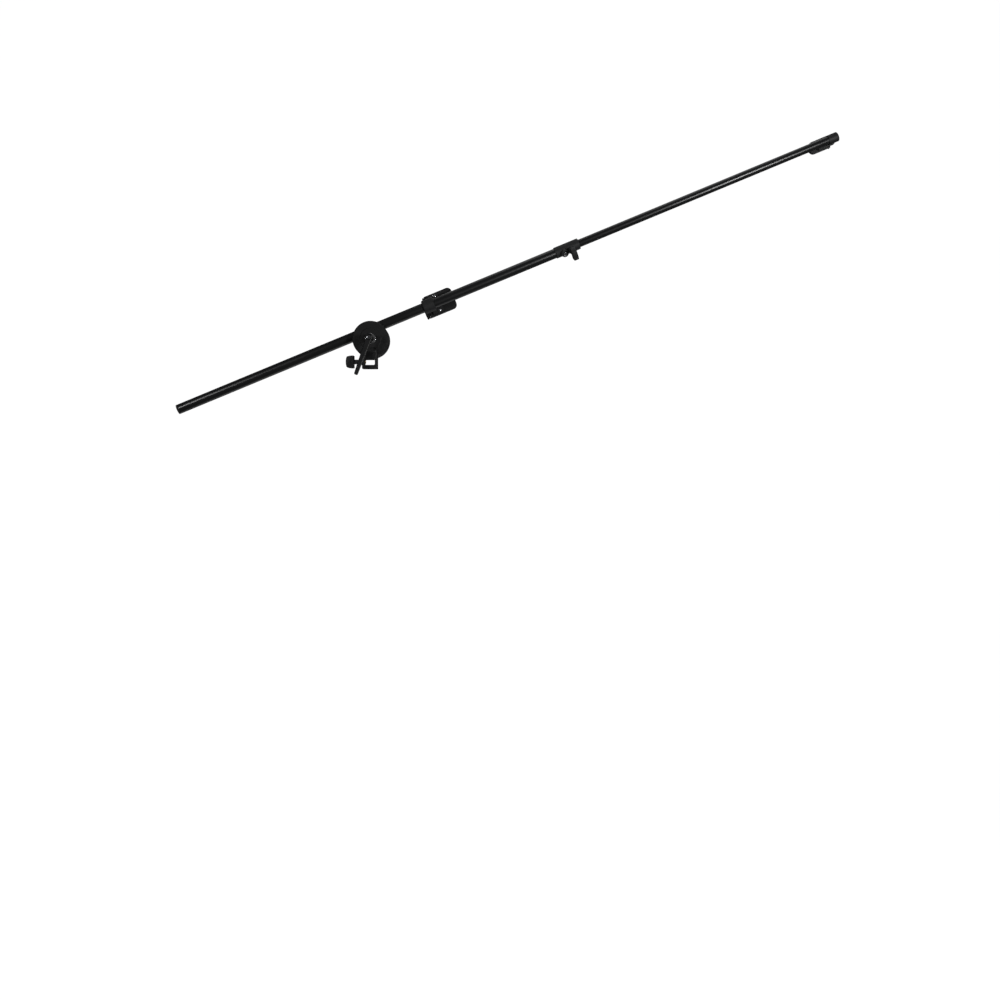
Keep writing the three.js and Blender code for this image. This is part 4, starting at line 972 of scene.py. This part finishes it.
def wing_knob(neck_radius, neck_start, wing_start, depth):
    """Neck and wing: an outline of a few vertices, extruded, dished and rounded."""
    half, tip = WING_SPAN / 2, WING_TIP_SPAN / 2
    end = wing_start + depth
    outline = [
        (half, wing_start), (half, wing_start + depth / 3), (half * 0.955, wing_start + depth * 0.6),
        (tip, end - WING_BULGE), (tip * 0.55, end - WING_BULGE * 0.3), (tip * 0.2, end),
    ]
    outline += [(-across, along) for across, along in reversed(outline)]
    wing = extruded(outline, -WING_THICKNESS / 2, WING_THICKNESS / 2)
    rounded_edges(wing, WING_EDGE, 5, 50 * DEGREE)
    for side in (-1, 1):
        dimple = bar(DIMPLE_RADIUS, -WING_SPAN, WING_SPAN, 160)
        aside = side * (WING_THICKNESS / 2 + DIMPLE_RADIUS - DIMPLE_DEPTH)
        put(dimple, Matrix.Translation((0, aside, wing_start + depth * DIMPLE_SHARE)) @ ALONG_X)
        shaped(wing, dimple)
    neck = turned([
        (neck_radius - NECK_EDGE, neck_start),
        (neck_radius, neck_start + NECK_EDGE),
        (neck_radius, wing_start - NECK_FLARE),
        (neck_radius + NECK_FLARE, wing_start + FLARE_RISE),
        (neck_radius + NECK_FLARE, wing_start + depth / 2),
    ], 64)
    return shaped(wing, neck, how="UNION")


screw_steel = spring_steel("stud_screw_steel", (0.3, 0.1, 0))
stud_screw = threaded(SCREW_RADIUS, SCREW_INNER, SCREW_OUTER)
put(stud_screw, STUD_FRAME)
dress(stud_screw, "stud_screw_threaded", "stud_screw", screw_steel, ["stud_screw"])


def brass_metal(name, shift=(0, 0, 0)):
    """Turned brass, slightly tarnished, with a fine grain and small dark spots."""
    brass = Finish(name, {"Metallic": 1.0})
    here = brass.place(shift=shift)
    film = brass.noise(here, 260.0, 3.0)
    grain = brass.noise(here, 1500.0, 3.0)
    tone = brass.blend(film, (0.50, 0.36, 0.14), (0.66, 0.50, 0.23))
    brass.drive("Base Color", brass.blend(grain.over(0.62, 5.0) * 0.5, tone, (0.25, 0.16, 0.07)))
    brass.drive("Roughness", 0.25 + film * 0.18 + grain * 0.1)
    brass.relief(grain, 0.008 * MM, 0.6)
    return brass


tip_brass = brass_metal("screw_tip_brass")
stud_tip = turned([
    (SCREW_RADIUS - TIP_CHAMFER, TIP_START),
    (SCREW_RADIUS, TIP_START + TIP_CHAMFER),
    (SCREW_RADIUS, TIP_END),
], 64)
rounded_edges(stud_tip, SCREW_EDGE, 2)
put(stud_tip, STUD_FRAME)
dress(stud_tip, "stud_screw_brass_tip", "stud_screw", tip_brass, ["stud_screw_tip"])

knob_plastic = moulded_plastic("stud_knob_plastic", (0.1, 0.4, 0.3))
stud_knob = wing_knob(NECK_RADIUS, KNOB_START, KNOB_START + NECK_LENGTH, WING_DEPTH)
put(stud_knob, STUD_FRAME)
dress(stud_knob, "stud_wing_knob", "stud_knob", knob_plastic, ["stud_knob"])


# Lock collar: moulded plastic sleeve on the mouth of the outer tube. A cross-recessed screw
# keeps it on; the second boss carries the wing screw that presses a shoe on the inner tube.
LOCK_START = 834 * MM
LOCK_END = 886 * MM
LOCK_RADIUS = 11.5 * MM
LOCK_BORE = 10.3 * MM
LOCK_LIP = 1.6 * MM
LOCK_MOUTH = 8.3 * MM
LOCK_EDGE = 0.6 * MM
LOCK_AXIS = 867 * MM
FIXING_AXIS = 851 * MM
LOCK_AIM = 130 * DEGREE
LOCK_BOSS = 7 * MM
LOCK_BOSS_TOP = 19 * MM
LOCK_HOLE = 3.25 * MM
FIXING_BOSS = 7.5 * MM
FIXING_BOSS_TOP = 18 * MM
FIXING_HOLE = 2.3 * MM
BOSS_EDGE = 0.9 * MM
BOSS_ROOT = 6 * MM
BOSS_SPREAD = 0.5 * MM
COLLAR_EDGE = 0.25 * MM
COLLAR_ANGLE = 40 * DEGREE
SHOE_ROOM = 4.3 * MM
SHOE_ROOM_TOP = 13.8 * MM

lock_plastic = moulded_plastic("lock_collar_plastic", (0.2, 0.2, 0.5))
collar = turned([
    (LOCK_BORE, LOCK_START),
    (LOCK_RADIUS - LOCK_EDGE, LOCK_START),
    (LOCK_RADIUS, LOCK_START + LOCK_EDGE),
    (LOCK_RADIUS, LOCK_END - LOCK_EDGE),
    (LOCK_RADIUS - LOCK_EDGE, LOCK_END),
    (LOCK_MOUTH, LOCK_END),
    (LOCK_MOUTH, LOCK_END - LOCK_LIP),
    (LOCK_BORE, LOCK_END - LOCK_LIP),
], closed=True)
put(collar, ALONG_X)
aim = Matrix.Rotation(LOCK_AIM, 4, "X")
for place, radius, top in (
        (LOCK_AXIS, LOCK_BOSS, LOCK_BOSS_TOP), (FIXING_AXIS, FIXING_BOSS, FIXING_BOSS_TOP)):
    boss = turned([
        (radius + BOSS_SPREAD, BOSS_ROOT),
        (radius, top - BOSS_EDGE),
        (radius - BOSS_EDGE * 0.3, top - BOSS_EDGE * 0.3),
        (radius - BOSS_EDGE, top),
    ], 72)
    put(boss, Matrix.Translation((place, 0, 0)) @ aim)
    inside_copy = put(bar(LOCK_BORE, LOCK_START, LOCK_END, 96), ALONG_X)
    shaped(boss, inside_copy)
    shaped(collar, boss, how="UNION")
for place, radius, top in (
        (LOCK_AXIS, LOCK_HOLE, LOCK_BOSS_TOP), (LOCK_AXIS, SHOE_ROOM, SHOE_ROOM_TOP),
        (FIXING_AXIS, FIXING_HOLE, FIXING_BOSS_TOP)):
    over = OVERRUN if radius != SHOE_ROOM else 0
    shaped(collar, put(bar(radius, BOSS_ROOT, top + over, 40), Matrix.Translation((place, 0, 0)) @ aim))
rounded_edges(collar, COLLAR_EDGE, 3, COLLAR_ANGLE)
put(collar, BOOM_FRAME)
dress(collar, "lock_collar_moulded", "boom", lock_plastic, ["lock_collar"])


# Bushes: pressed white nylon rings that carry the inner tube, one in the collar's mouth and
# one on the tube's hidden end.
# Inner and outer radius, and the two ends along the tube.
LOCK_BUSH = (8.3 * MM, 10 * MM, 876.3 * MM, 884.1 * MM)
BUSH_EDGE = 0.3 * MM


def nylon_resin(name, shift=(0, 0, 0)):
    """Natural nylon: milky, a little yellowed, with graphite smears from the tube."""
    nylon = Finish(name, {"Specular IOR Level": 0.45})
    here = nylon.place(shift=shift)
    flow = nylon.noise(here, 150.0, 3.0)
    smear = nylon.noise(nylon.place((60, 400, 400), ARM_TILT, shift), 1.0, 3.0).over(0.55, 4.0)
    tone = nylon.blend(flow, (0.62, 0.60, 0.53), (0.72, 0.70, 0.64))
    nylon.drive("Base Color", nylon.blend(smear * 0.4, tone, (0.2, 0.19, 0.18)))
    nylon.drive("Roughness", 0.42 + flow * 0.2 + smear * 0.1)
    nylon.relief(flow, 0.01 * MM, 0.5)
    return nylon


bush_nylon = nylon_resin("bush_nylon")
bush = plain_ring(*LOCK_BUSH)
rounded_edges(bush, BUSH_EDGE)
put(bush, BOOM_FRAME @ ALONG_X)
dress(bush, "lock_mouth_bush", "boom", bush_nylon, ["lock_bush"])
keep_solid("guide_bush", bush_nylon)


# Lock screws: a bright pan-head screw with a cross recess keeps the collar on, and the wing
# screw bears on a small brass shoe that is hollowed to the inner tube.
FIXING_HEAD = 4.2 * MM
FIXING_HEAD_FROM = 18.3 * MM
FIXING_HEAD_HEIGHT = 2.4 * MM
FIXING_SHANK = 2 * MM
FIXING_END = 11.3 * MM
CROSS_WIDTH = 0.9 * MM
CROSS_REACH = 2.1 * MM
CROSS_DEPTH = 1.4 * MM
HEAD_EDGE = 0.12 * MM
HEAD_ANGLE = 50 * DEGREE
SHOE_RADIUS = 4 * MM
SHOE_FRONT = 5 * MM
SHOE_EDGE = 0.2 * MM
SHOE_BACK = 11.2 * MM
SHOE_CURVE = 8.25 * MM
LOCK_SCREW_RADIUS = 2.95 * MM
LOCK_SCREW_FROM = 11.5 * MM
LOCK_SCREW_TO = 33 * MM
LOCK_NECK = 5 * MM
LOCK_NECK_FROM = 21 * MM
LOCK_WING_FROM = 25 * MM
LOCK_WING_DEPTH = 16 * MM
LOCK_FRAME = BOOM_FRAME @ Matrix.Translation((LOCK_AXIS, 0, 0)) @ aim


def pan_head(radius, height, shank, length):
    """A pan-head screw along Z: its head's back at 0, the domed top above, the shank below."""
    screw = turned([
        (shank, -length),
        (shank, 0),
        (radius, 0),
        (radius, height * 0.35),
        (radius * 0.93, height * 0.68),
        (radius * 0.74, height * 0.9),
        (radius * 0.4, height),
    ], 64)
    for turn in (0, math.pi / 2):
        cross_floor = height - CROSS_DEPTH * height / FIXING_HEAD_HEIGHT
        cross = slab((-CROSS_REACH * radius / FIXING_HEAD, -CROSS_WIDTH / 2, cross_floor),
                     (CROSS_REACH * radius / FIXING_HEAD, CROSS_WIDTH / 2, height * 2))
        put(cross, Matrix.Rotation(turn, 4, "Z"))
        shaped(screw, cross)
    return rounded_edges(screw, HEAD_EDGE, 2, HEAD_ANGLE)


fixing_plating = plating("fixing_screw_plating", (0.5, 0.1, 0.1))
fixing = pan_head(FIXING_HEAD, FIXING_HEAD_HEIGHT, FIXING_SHANK, FIXING_HEAD_FROM - FIXING_END)
under_head = aim @ Matrix.Translation((0, 0, FIXING_HEAD_FROM))
put(fixing, BOOM_FRAME @ Matrix.Translation((FIXING_AXIS, 0, 0)) @ under_head)
dress(fixing, "collar_fixing_screw", "boom", fixing_plating, ["lock_fixing_screw"])

lock_steel = spring_steel("lock_screw_steel", (0.6, 0.1, 0.2))
lock_screw = threaded(LOCK_SCREW_RADIUS, LOCK_SCREW_FROM, LOCK_SCREW_TO)
put(lock_screw, LOCK_FRAME)
dress(lock_screw, "lock_screw_threaded", "lock_screw", lock_steel, ["lock_screw"])

shoe_brass = brass_metal("lock_shoe_brass", (0.2, 0.5, 0.2))
shoe = bar(SHOE_RADIUS, SHOE_FRONT, SHOE_BACK, 48)
shaped(shoe, put(bar(SHOE_CURVE, -SHOE_BACK, SHOE_BACK, 96), ALONG_X))
rounded_edges(shoe, SHOE_EDGE, 2, HEAD_ANGLE)
put(shoe, LOCK_FRAME)
dress(shoe, "lock_brass_shoe", "lock_screw", shoe_brass, ["lock_shoe"])

lock_knob_plastic = moulded_plastic("lock_knob_plastic", (0.7, 0.4, 0.3))
lock_knob = wing_knob(LOCK_NECK, LOCK_NECK_FROM, LOCK_WING_FROM, LOCK_WING_DEPTH)
put(lock_knob, Matrix.Rotation(math.pi / 2, 4, "Z"))
put(lock_knob, LOCK_FRAME)
dress(lock_knob, "lock_wing_knob", "lock_knob", lock_knob_plastic, ["lock_knob"])


# Clip jaws: two pressed steel plates, black powder-coated, hinged on a pin through their
# interleaved lugs. The rear plate has two pressed beads and a folded handle with a curled lip.
PLATE = 2 * MM
FRONT_PLATE = 13.3 * MM
REAR_PLATE = 22.5 * MM
PARTING = 18.9 * MM
PLATE_SETBACK = 1 * MM
JAW_CORNER = 9 * MM
LUG_RADIUS = 3.1 * MM
LUG_THICKNESS = 2 * MM
LUG_INSET = 3.5 * MM
LUG_GAP = 0.3 * MM
LUG_OVERLAP = 0.1 * MM
PIN_RADIUS = 1.5 * MM
PIN_CHAMFER = 0.4 * MM
PRESSED_BEAD = 1.5 * MM
BEAD_END = ((0.3, 0), (0.75, 0.4), (1, 1.2))  # radius and run of a bead's end, in radii
BEAD_SINK = 0.05 * MM
HANDLE_LEAN = 10 * DEGREE
HANDLE_LENGTH = 28 * MM
HANDLE_CORNER = 7 * MM
HANDLE_LIP = 1.2 * MM
LIP_ROUNDING = 0.7 * MM
SHEET_EDGE = 0.45 * MM
NEAR_HINGE = 550 * MM
FAR_HINGE = 1441 * MM
NEAR_FRAME = BOOM_FRAME @ Matrix.Translation((NEAR_HINGE, 0, 0))
FAR_FRAME = BOOM_FRAME @ Matrix.Translation((FAR_HINGE, 0, 0)) @ Matrix.Rotation(math.pi, 4, "Y")
# Name, frame, length of the plates, their half width, and the handle's half width.
CLIPS = (
    ("near", NEAR_FRAME, 59.5 * MM, 22.5 * MM, 19.5 * MM),
    ("far", FAR_FRAME, 42 * MM, 12 * MM, 10 * MM),
)
NEAR_SCREW_AT = 22.5 * MM
NEAR_SCREW_SPREAD = 15 * MM
NEAR_SCREW_HOLE = 2.2 * MM
FAR_RIVET_AT = (22 * MM, 11 * MM)
FAR_RIVET_HOLE = 1.8 * MM
RIVET_ROOM = 3 * MM
RIVET_ROOM_FLOOR = FRONT_PLATE + 0.7 * MM


def rounded_plate(low_x, high_x, half, radii, from_y, to_y):
    """A plate in the XZ plane whose far corners are rounded, extruded along Y."""
    near_radius, far_radius = radii
    corners = [(low_x, -half, near_radius), (high_x, -half, far_radius),
               (high_x, half, far_radius), (low_x, half, near_radius)]
    outline = []
    for index, (x, z, radius) in enumerate(corners):
        centre_x = x + (radius if x == low_x else -radius)
        centre_z = z + (radius if z < 0 else -radius)
        for step in range(9):
            angle = math.pi + index * math.pi / 2 + step * math.pi / 16
            outline.append((centre_x + radius * math.cos(angle), centre_z + radius * math.sin(angle)))
    return extruded(outline, from_y, to_y)


def hinge_lug(face, low):
    """A lug folded from the plate at depth face: a round eye on the pin's axis with a root."""
    eye = bar(LUG_RADIUS, low, low + LUG_THICKNESS, 48)
    put(eye, Matrix.Translation((0, PARTING, 0)))
    root = slab((-PLATE / 2, min(PARTING, face), low),
                (LUG_RADIUS, max(PARTING, face), low + LUG_THICKNESS))
    shaped(eye, root, how="UNION")
    web = slab((LUG_RADIUS - LUG_OVERLAP, face - PLATE / 2, low),
               (2 * LUG_RADIUS, face + PLATE / 2, low + LUG_THICKNESS))
    shaped(eye, web, how="UNION")
    hole = put(bar(PIN_RADIUS + LUG_GAP, low - OVERRUN, low + LUG_THICKNESS + OVERRUN, 32),
               Matrix.Translation((0, PARTING, 0)))
    return shaped(eye, hole)


def plate_coat(name, shift):
    """Powder coat on pressed sheet: orange peel, chipped edges down to grey, faint dust."""
    coat = Finish(name, {"Specular IOR Level": 0.5, "Metallic": 0.0})
    here = coat.place(shift=shift)
    peel = coat.noise(here, 800.0, 2.0)
    cloud = coat.noise(here, 60.0, 3.0)
    chip = coat.edges(0.5 * MM) * coat.noise(here, 380.0, 3.0).over(0.5, 5.0)
    dust = coat.noise(here, 2400.0, 2.0).over(0.66, 8.0) * cloud.over(0.5, 3.0)
    black = coat.blend(cloud, (0.0085, 0.0088, 0.0095), (0.012, 0.0122, 0.013))
    dusty = coat.blend(dust * 0.25, black, (0.1, 0.097, 0.092))
    coat.drive("Base Color", coat.blend(chip * 0.5, dusty, (0.12, 0.12, 0.12)))
    coat.drive("Roughness", 0.36 + cloud * 0.12 + chip * 0.1 + dust * 0.2)
    coat.relief(peel + cloud * 0.4, 0.014 * MM, 0.8)
    return coat


for clip, clip_frame, length, half, handle_half in CLIPS:
    sheet_coat = plate_coat(clip + "_jaw_coat", (0.3, 0.6, 0.2) if clip == "near" else (0.8, 0.1, 0.4))
    front = rounded_plate(PLATE_SETBACK, length, half, (PLATE, JAW_CORNER),
                          FRONT_PLATE, FRONT_PLATE + PLATE)
    outer = half - LUG_INSET
    inner = outer - LUG_THICKNESS - LUG_GAP
    for low in (-outer, outer - LUG_THICKNESS):
        shaped(front, hinge_lug(FRONT_PLATE + PLATE / 2, low), how="UNION")
    if clip == "near":
        hole_at = [(NEAR_SCREW_AT, z, NEAR_SCREW_HOLE) for z in (-NEAR_SCREW_SPREAD, NEAR_SCREW_SPREAD)]
    else:
        hole_at = [(x, 0, FAR_RIVET_HOLE) for x in FAR_RIVET_AT]
    for x, z, radius in hole_at:
        hole_axis = Matrix.Translation((x, 0, z)) @ ALONG_Y
        shaped(front, put(bar(radius, 0, PARTING, 32), hole_axis))
        if clip == "far":
            shaped(front, put(bar(RIVET_ROOM, RIVET_ROOM_FLOOR, PARTING, 32), hole_axis))
    rounded_edges(front, SHEET_EDGE, 3)
    put(front, clip_frame)
    dress(front, clip + "_front_plate", clip + "_clip", sheet_coat, [clip + "_front_jaw"])

    back = REAR_PLATE + PLATE
    rear = rounded_plate(-LUG_RADIUS, length, half, (PLATE, JAW_CORNER), REAR_PLATE, back)
    bead_outline = [(PRESSED_BEAD * radius, JAW_CORNER + PRESSED_BEAD * run) for radius, run in BEAD_END]
    bead_outline += [(radius, length - along) for radius, along in reversed(bead_outline)]
    for z in (-half / 2, half / 2):
        bead = turned(bead_outline, 32)
        put(bead, Matrix.Translation((0, back - BEAD_SINK, z)) @ ALONG_X)
        shaped(rear, bead, how="UNION")
    for low in (-inner, inner - LUG_THICKNESS):
        shaped(rear, hinge_lug(REAR_PLATE + PLATE / 2, low), how="UNION")
    fold_at = Matrix.Translation((-LUG_RADIUS + PLATE / 2, REAR_PLATE + PLATE / 2, 0))
    lean = Matrix.Rotation(HANDLE_LEAN + math.pi / 2, 4, "Z")
    handle = rounded_plate(0, HANDLE_LENGTH, handle_half, (PLATE / 4, HANDLE_CORNER), -PLATE / 2, PLATE / 2)
    put(handle, fold_at @ lean)
    fold = put(bar(PLATE / 2, -handle_half, handle_half, 40), fold_at)
    lip_half = handle_half - HANDLE_CORNER
    lip = turned([(HANDLE_LIP * 0.5, -lip_half), (HANDLE_LIP, -lip_half + LIP_ROUNDING),
                  (HANDLE_LIP, lip_half - LIP_ROUNDING), (HANDLE_LIP * 0.5, lip_half)], 40)
    put(lip, fold_at @ lean @ Matrix.Translation((HANDLE_LENGTH, 0, 0)))
    shaped(handle, lip, how="UNION")
    shaped(rear, fold, how="UNION")
    shaped(rear, handle, how="UNION")
    rounded_edges(rear, SHEET_EDGE, 3, 45 * DEGREE)
    put(rear, clip_frame)
    dress(rear, clip + "_rear_plate", clip + "_jaw", sheet_coat, [clip + "_rear_jaw"])


# Jaw pads: moulded solid rubber strips cemented to both plates, with ribs across that grip
# the reflector's rim.
PAD_THICKNESS = 3 * MM
FRONT_PAD = 15.6 * MM
REAR_PAD = 19.2 * MM
PAD_START = 13 * MM
PAD_INSET = 2 * MM
PAD_CORNER = 7 * MM
RIB_PITCH = 2.4 * MM
RIB_GROOVE = 0.55 * MM
PAD_EDGE = 0.4 * MM

for clip, clip_frame, length, half, handle_half in CLIPS:
    pad_rubber = black_rubber(clip + "_pad_rubber", (0.1, 0.7, 0.2) if clip == "near" else (0.5, 0.2, 0.9))
    for side, plane, grip, body in (("front", FRONT_PAD, FRONT_PAD + PAD_THICKNESS, "_clip"),
                                    ("rear", REAR_PAD, REAR_PAD, "_jaw")):
        pad = rounded_plate(PAD_START, length - PAD_INSET, half - PAD_INSET, (PAD_INSET, PAD_CORNER),
                            plane, plane + PAD_THICKNESS)
        rounded_edges(pad, PAD_EDGE, 2)
        grooves = int((length - PAD_INSET - PAD_START) / RIB_PITCH) - 1
        first_groove = Matrix.Translation((PAD_START + RIB_PITCH, grip, 0))
        groove = put(bar(RIB_GROOVE, -half * 2, half * 2, 8), first_groove)
        pick(groove)
        modifier = groove.modifiers.new("row", "ARRAY")
        modifier.count = grooves
        modifier.use_relative_offset = False
        modifier.use_constant_offset = True
        modifier.constant_offset_displace = (RIB_PITCH, 0, 0)
        bpy.ops.object.modifier_apply(modifier=modifier.name)
        shaped(pad, groove)
        put(pad, clip_frame)
        dress(pad, clip + "_" + side + "_ribbed_pad", clip + body, pad_rubber,
              [clip + "_" + side + "_pad"])


# Hinge pins and springs: a plain steel pin with chamfered ends through the lugs, and round
# it a torsion spring whose two straight legs hold the jaws closed.
COIL_RADIUS = 2.4 * MM
COIL_WIRE = 0.6 * MM
COIL_LEG = 10 * MM
COIL_PITCH = 2.6 * MM

for clip, clip_frame, length, half, handle_half in CLIPS:
    pin_steel = spring_steel(clip + "_pin_steel", (0.4, 0.1, 0.6))
    reach = half - LUG_INSET + PLATE
    pin = turned([
        (PIN_RADIUS - PIN_CHAMFER, -reach), (PIN_RADIUS, -reach + PIN_CHAMFER),
        (PIN_RADIUS, reach - PIN_CHAMFER), (PIN_RADIUS - PIN_CHAMFER, reach),
    ], 40)
    put(pin, clip_frame @ Matrix.Translation((0, PARTING, 0)))
    dress(pin, clip + "_pin", clip + "_clip", pin_steel, [clip + "_hinge_pin"])

    span = half - LUG_INSET - 2 * LUG_THICKNESS - 3 * LUG_GAP - 2 * COIL_WIRE
    turns = max(1, round(2 * span / COIL_PITCH)) + 0.5
    coil = coil_points(COIL_RADIUS, -span, span, turns, -math.pi / 2)
    (first_x, first_y, first_z), (last_x, last_y, last_z) = coil[0], coil[-1]
    path = [(first_x + COIL_LEG, first_y, first_z)] + coil + [(last_x + COIL_LEG, last_y, last_z)]
    jaw_spring = wire_piece(path, COIL_WIRE, 10)
    put(jaw_spring, clip_frame @ Matrix.Translation((0, PARTING, 0)))
    dress(jaw_spring, clip + "_torsion_spring", None, spring_finish, [clip + "_spring"])
    coil_ends = [clip_frame @ Vector((0, PARTING, end)) for end in (-span, span)]
    clip + "_clip"
    clip + "_jaw"
    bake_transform(jaw_spring)


# Near clip's collar: a moulded ring that turns on the outer tube, with a foot that carries
# the front plate on two screws and a grub screw that stops it.
NEAR_START = -7.5 * MM
NEAR_END = 16.5 * MM
NEAR_RADIUS = 14.3 * MM
NEAR_BORE = 10.3 * MM
NEAR_EDGE = 1.4 * MM
MOULDED_EDGE = 0.35 * MM
FOOT_BACK = 13 * MM
FOOT_START = 7.3 * MM
FOOT_END = 30.5 * MM
FOOT_HALF = 19.5 * MM
FOOT_CORNER = 4.6 * MM
NEAR_SCREW_RADIUS = 1.9 * MM
NEAR_HEAD_RADIUS = 3.4 * MM
NEAR_HEAD_HEIGHT = 2.2 * MM
NEAR_HEAD_PLANE = 10 * MM
GRUB_RADIUS = 2 * MM
GRUB_AT = 2.5 * MM
GRUB_TOP = 14 * MM
GRUB_POINT = 0.4 * MM
GRUB_EDGE = 0.3 * MM
GRUB_HEX = 1.1 * MM
GRUB_HEX_DEPTH = 1.2 * MM

near_plastic = moulded_plastic("near_collar_plastic", (0.6, 0.6, 0.1), 0.9)
near_collar = turned([
    (NEAR_BORE, NEAR_START), (NEAR_RADIUS - NEAR_EDGE, NEAR_START), (NEAR_RADIUS, NEAR_START + NEAR_EDGE),
    (NEAR_RADIUS, NEAR_END - NEAR_EDGE), (NEAR_RADIUS - NEAR_EDGE, NEAR_END), (NEAR_BORE, NEAR_END),
], closed=True)
put(near_collar, ALONG_X)
behind = slab((NEAR_START - OVERRUN, FOOT_BACK, -2 * NEAR_RADIUS),
              (NEAR_END + OVERRUN, 2 * NEAR_RADIUS, 2 * NEAR_RADIUS))
shaped(near_collar, behind)
foot = rounded_plate(FOOT_START, FOOT_END, FOOT_HALF, (PLATE, FOOT_CORNER), NEAR_BORE, FOOT_BACK)
shaped(near_collar, foot, how="UNION")
shaped(near_collar, put(bar(NEAR_BORE, NEAR_START - OVERRUN, FOOT_END + OVERRUN, ROUND_SIDES), ALONG_X))
for z in (-NEAR_SCREW_SPREAD, NEAR_SCREW_SPREAD):
    hole_axis = Matrix.Translation((NEAR_SCREW_AT, 0, z)) @ ALONG_Y
    shaped(near_collar, put(bar(NEAR_SCREW_HOLE, 0, PARTING, 32), hole_axis))
shaped(near_collar, put(bar(GRUB_RADIUS + LUG_GAP, OUTER_RADIUS, NEAR_RADIUS + OVERRUN, 32),
                        Matrix.Translation((GRUB_AT, 0, 0))))
rounded_edges(near_collar, MOULDED_EDGE, 3)
put(near_collar, NEAR_FRAME)
dress(near_collar, "near_collar_moulded", "near_clip", near_plastic, ["near_clip_collar"])


def grub_screw(low, high):
    """A headless screw with a hexagon socket in its upper end."""
    grub = turned([(GRUB_RADIUS - GRUB_POINT, low), (GRUB_RADIUS, low + GRUB_POINT),
                   (GRUB_RADIUS, high - GRUB_EDGE), (GRUB_RADIUS - GRUB_EDGE, high)], 40)
    return shaped(grub, bar(GRUB_HEX, high - GRUB_HEX_DEPTH, high + OVERRUN, 6))


clip_plating = plating("clip_screw_plating", (0.3, 0.3, 0.8))
grub_steel = spring_steel("grub_screw_steel", (0.9, 0.1, 0.6))
for z, name in ((-NEAR_SCREW_SPREAD, "near_lower_screw"), (NEAR_SCREW_SPREAD, "near_upper_screw")):
    shank = FRONT_PLATE + PLATE - NEAR_HEAD_PLANE
    clip_screw = pan_head(NEAR_HEAD_RADIUS, NEAR_HEAD_HEIGHT, NEAR_SCREW_RADIUS, shank)
    toward = Matrix.Translation((NEAR_SCREW_AT, NEAR_HEAD_PLANE, z)) @ Matrix.Rotation(math.pi / 2, 4, "X")
    put(clip_screw, NEAR_FRAME @ toward)
    dress(clip_screw, name + "_cross", "near_clip", clip_plating, [name])
near_grub = grub_screw(NEAR_BORE, GRUB_TOP)
put(near_grub, NEAR_FRAME @ Matrix.Translation((GRUB_AT, 0, 0)))
dress(near_grub, "near_grub_hex", "near_clip", grub_steel, ["near_grub_screw"])


# Far clip's cap: a moulded plastic cap over the inner tube's end, with a foot to which the
# front plate is riveted, and a grub screw that holds it.
CAP_TOP = -17 * MM
CAP_FLOOR = -13.7 * MM
CAP_OPEN = 4 * MM
CAP_RADIUS = 9.7 * MM
CAP_BORE = 8.3 * MM
CAP_EDGE = 1.6 * MM
CAP_ANGLE = 45 * DEGREE
FAR_FOOT = (-8 * MM, 27 * MM)
FAR_FOOT_HALF = 10.5 * MM
RIVET_START = 8.6 * MM
RIVET_RADIUS = 1.5 * MM
RIVET_HEAD = 2.7 * MM
RIVET_HEAD_HEIGHT = 1 * MM
FAR_GRUB_AT = -4.7 * MM

cap_plastic = moulded_plastic("far_cap_plastic", (0.2, 0.9, 0.1), 0.9)
cap = turned([
    (CAP_BORE, CAP_OPEN), (CAP_RADIUS, CAP_OPEN), (CAP_RADIUS, CAP_TOP + CAP_EDGE),
    (CAP_RADIUS - CAP_EDGE * 0.3, CAP_TOP + CAP_EDGE * 0.4), (CAP_RADIUS - CAP_EDGE, CAP_TOP),
])
shaped(cap, bar(CAP_BORE, CAP_FLOOR, CAP_OPEN + OVERRUN, ROUND_SIDES))
put(cap, ALONG_X)
far_foot = rounded_plate(*FAR_FOOT, FAR_FOOT_HALF, (PLATE, PLATE), INNER_RADIUS / 2, FOOT_BACK)
shaped(cap, far_foot, how="UNION")
shaped(cap, put(bar(CAP_BORE, CAP_FLOOR, FAR_FOOT[1] + OVERRUN, ROUND_SIDES), ALONG_X))
for x in FAR_RIVET_AT:
    shaped(cap, put(bar(FAR_RIVET_HOLE, 0, PARTING, 32), Matrix.Translation((x, 0, 0)) @ ALONG_Y))
grub_hole = bar(GRUB_RADIUS + LUG_GAP, INNER_RADIUS, CAP_RADIUS + OVERRUN, 32)
shaped(cap, put(grub_hole, Matrix.Translation((FAR_GRUB_AT, 0, 0))))
rounded_edges(cap, MOULDED_EDGE, 3, CAP_ANGLE)
put(cap, FAR_FRAME)
dress(cap, "far_cap_moulded", "far_clip", cap_plastic, ["far_clip_cap"])
keep_solid("far_grub_screw", grub_steel)
head_top = FRONT_PLATE + PLATE
for x, name in zip(FAR_RIVET_AT, ("far_rivet_1", "far_rivet_2")):
    rivet = turned([
        (RIVET_RADIUS, RIVET_START),
        (RIVET_RADIUS, head_top - RIVET_HEAD_HEIGHT),
        (RIVET_HEAD, head_top - RIVET_HEAD_HEIGHT),
        (RIVET_HEAD, head_top - RIVET_HEAD_HEIGHT * 0.5),
        (RIVET_HEAD * 0.75, head_top - RIVET_HEAD_HEIGHT * 0.12),
        (RIVET_HEAD * 0.4, head_top),
    ], 48)
    put(rivet, FAR_FRAME @ Matrix.Translation((x, 0, 0)) @ ALONG_Y)
    dress(rivet, name + "_domed", "far_clip", grub_steel, [name])
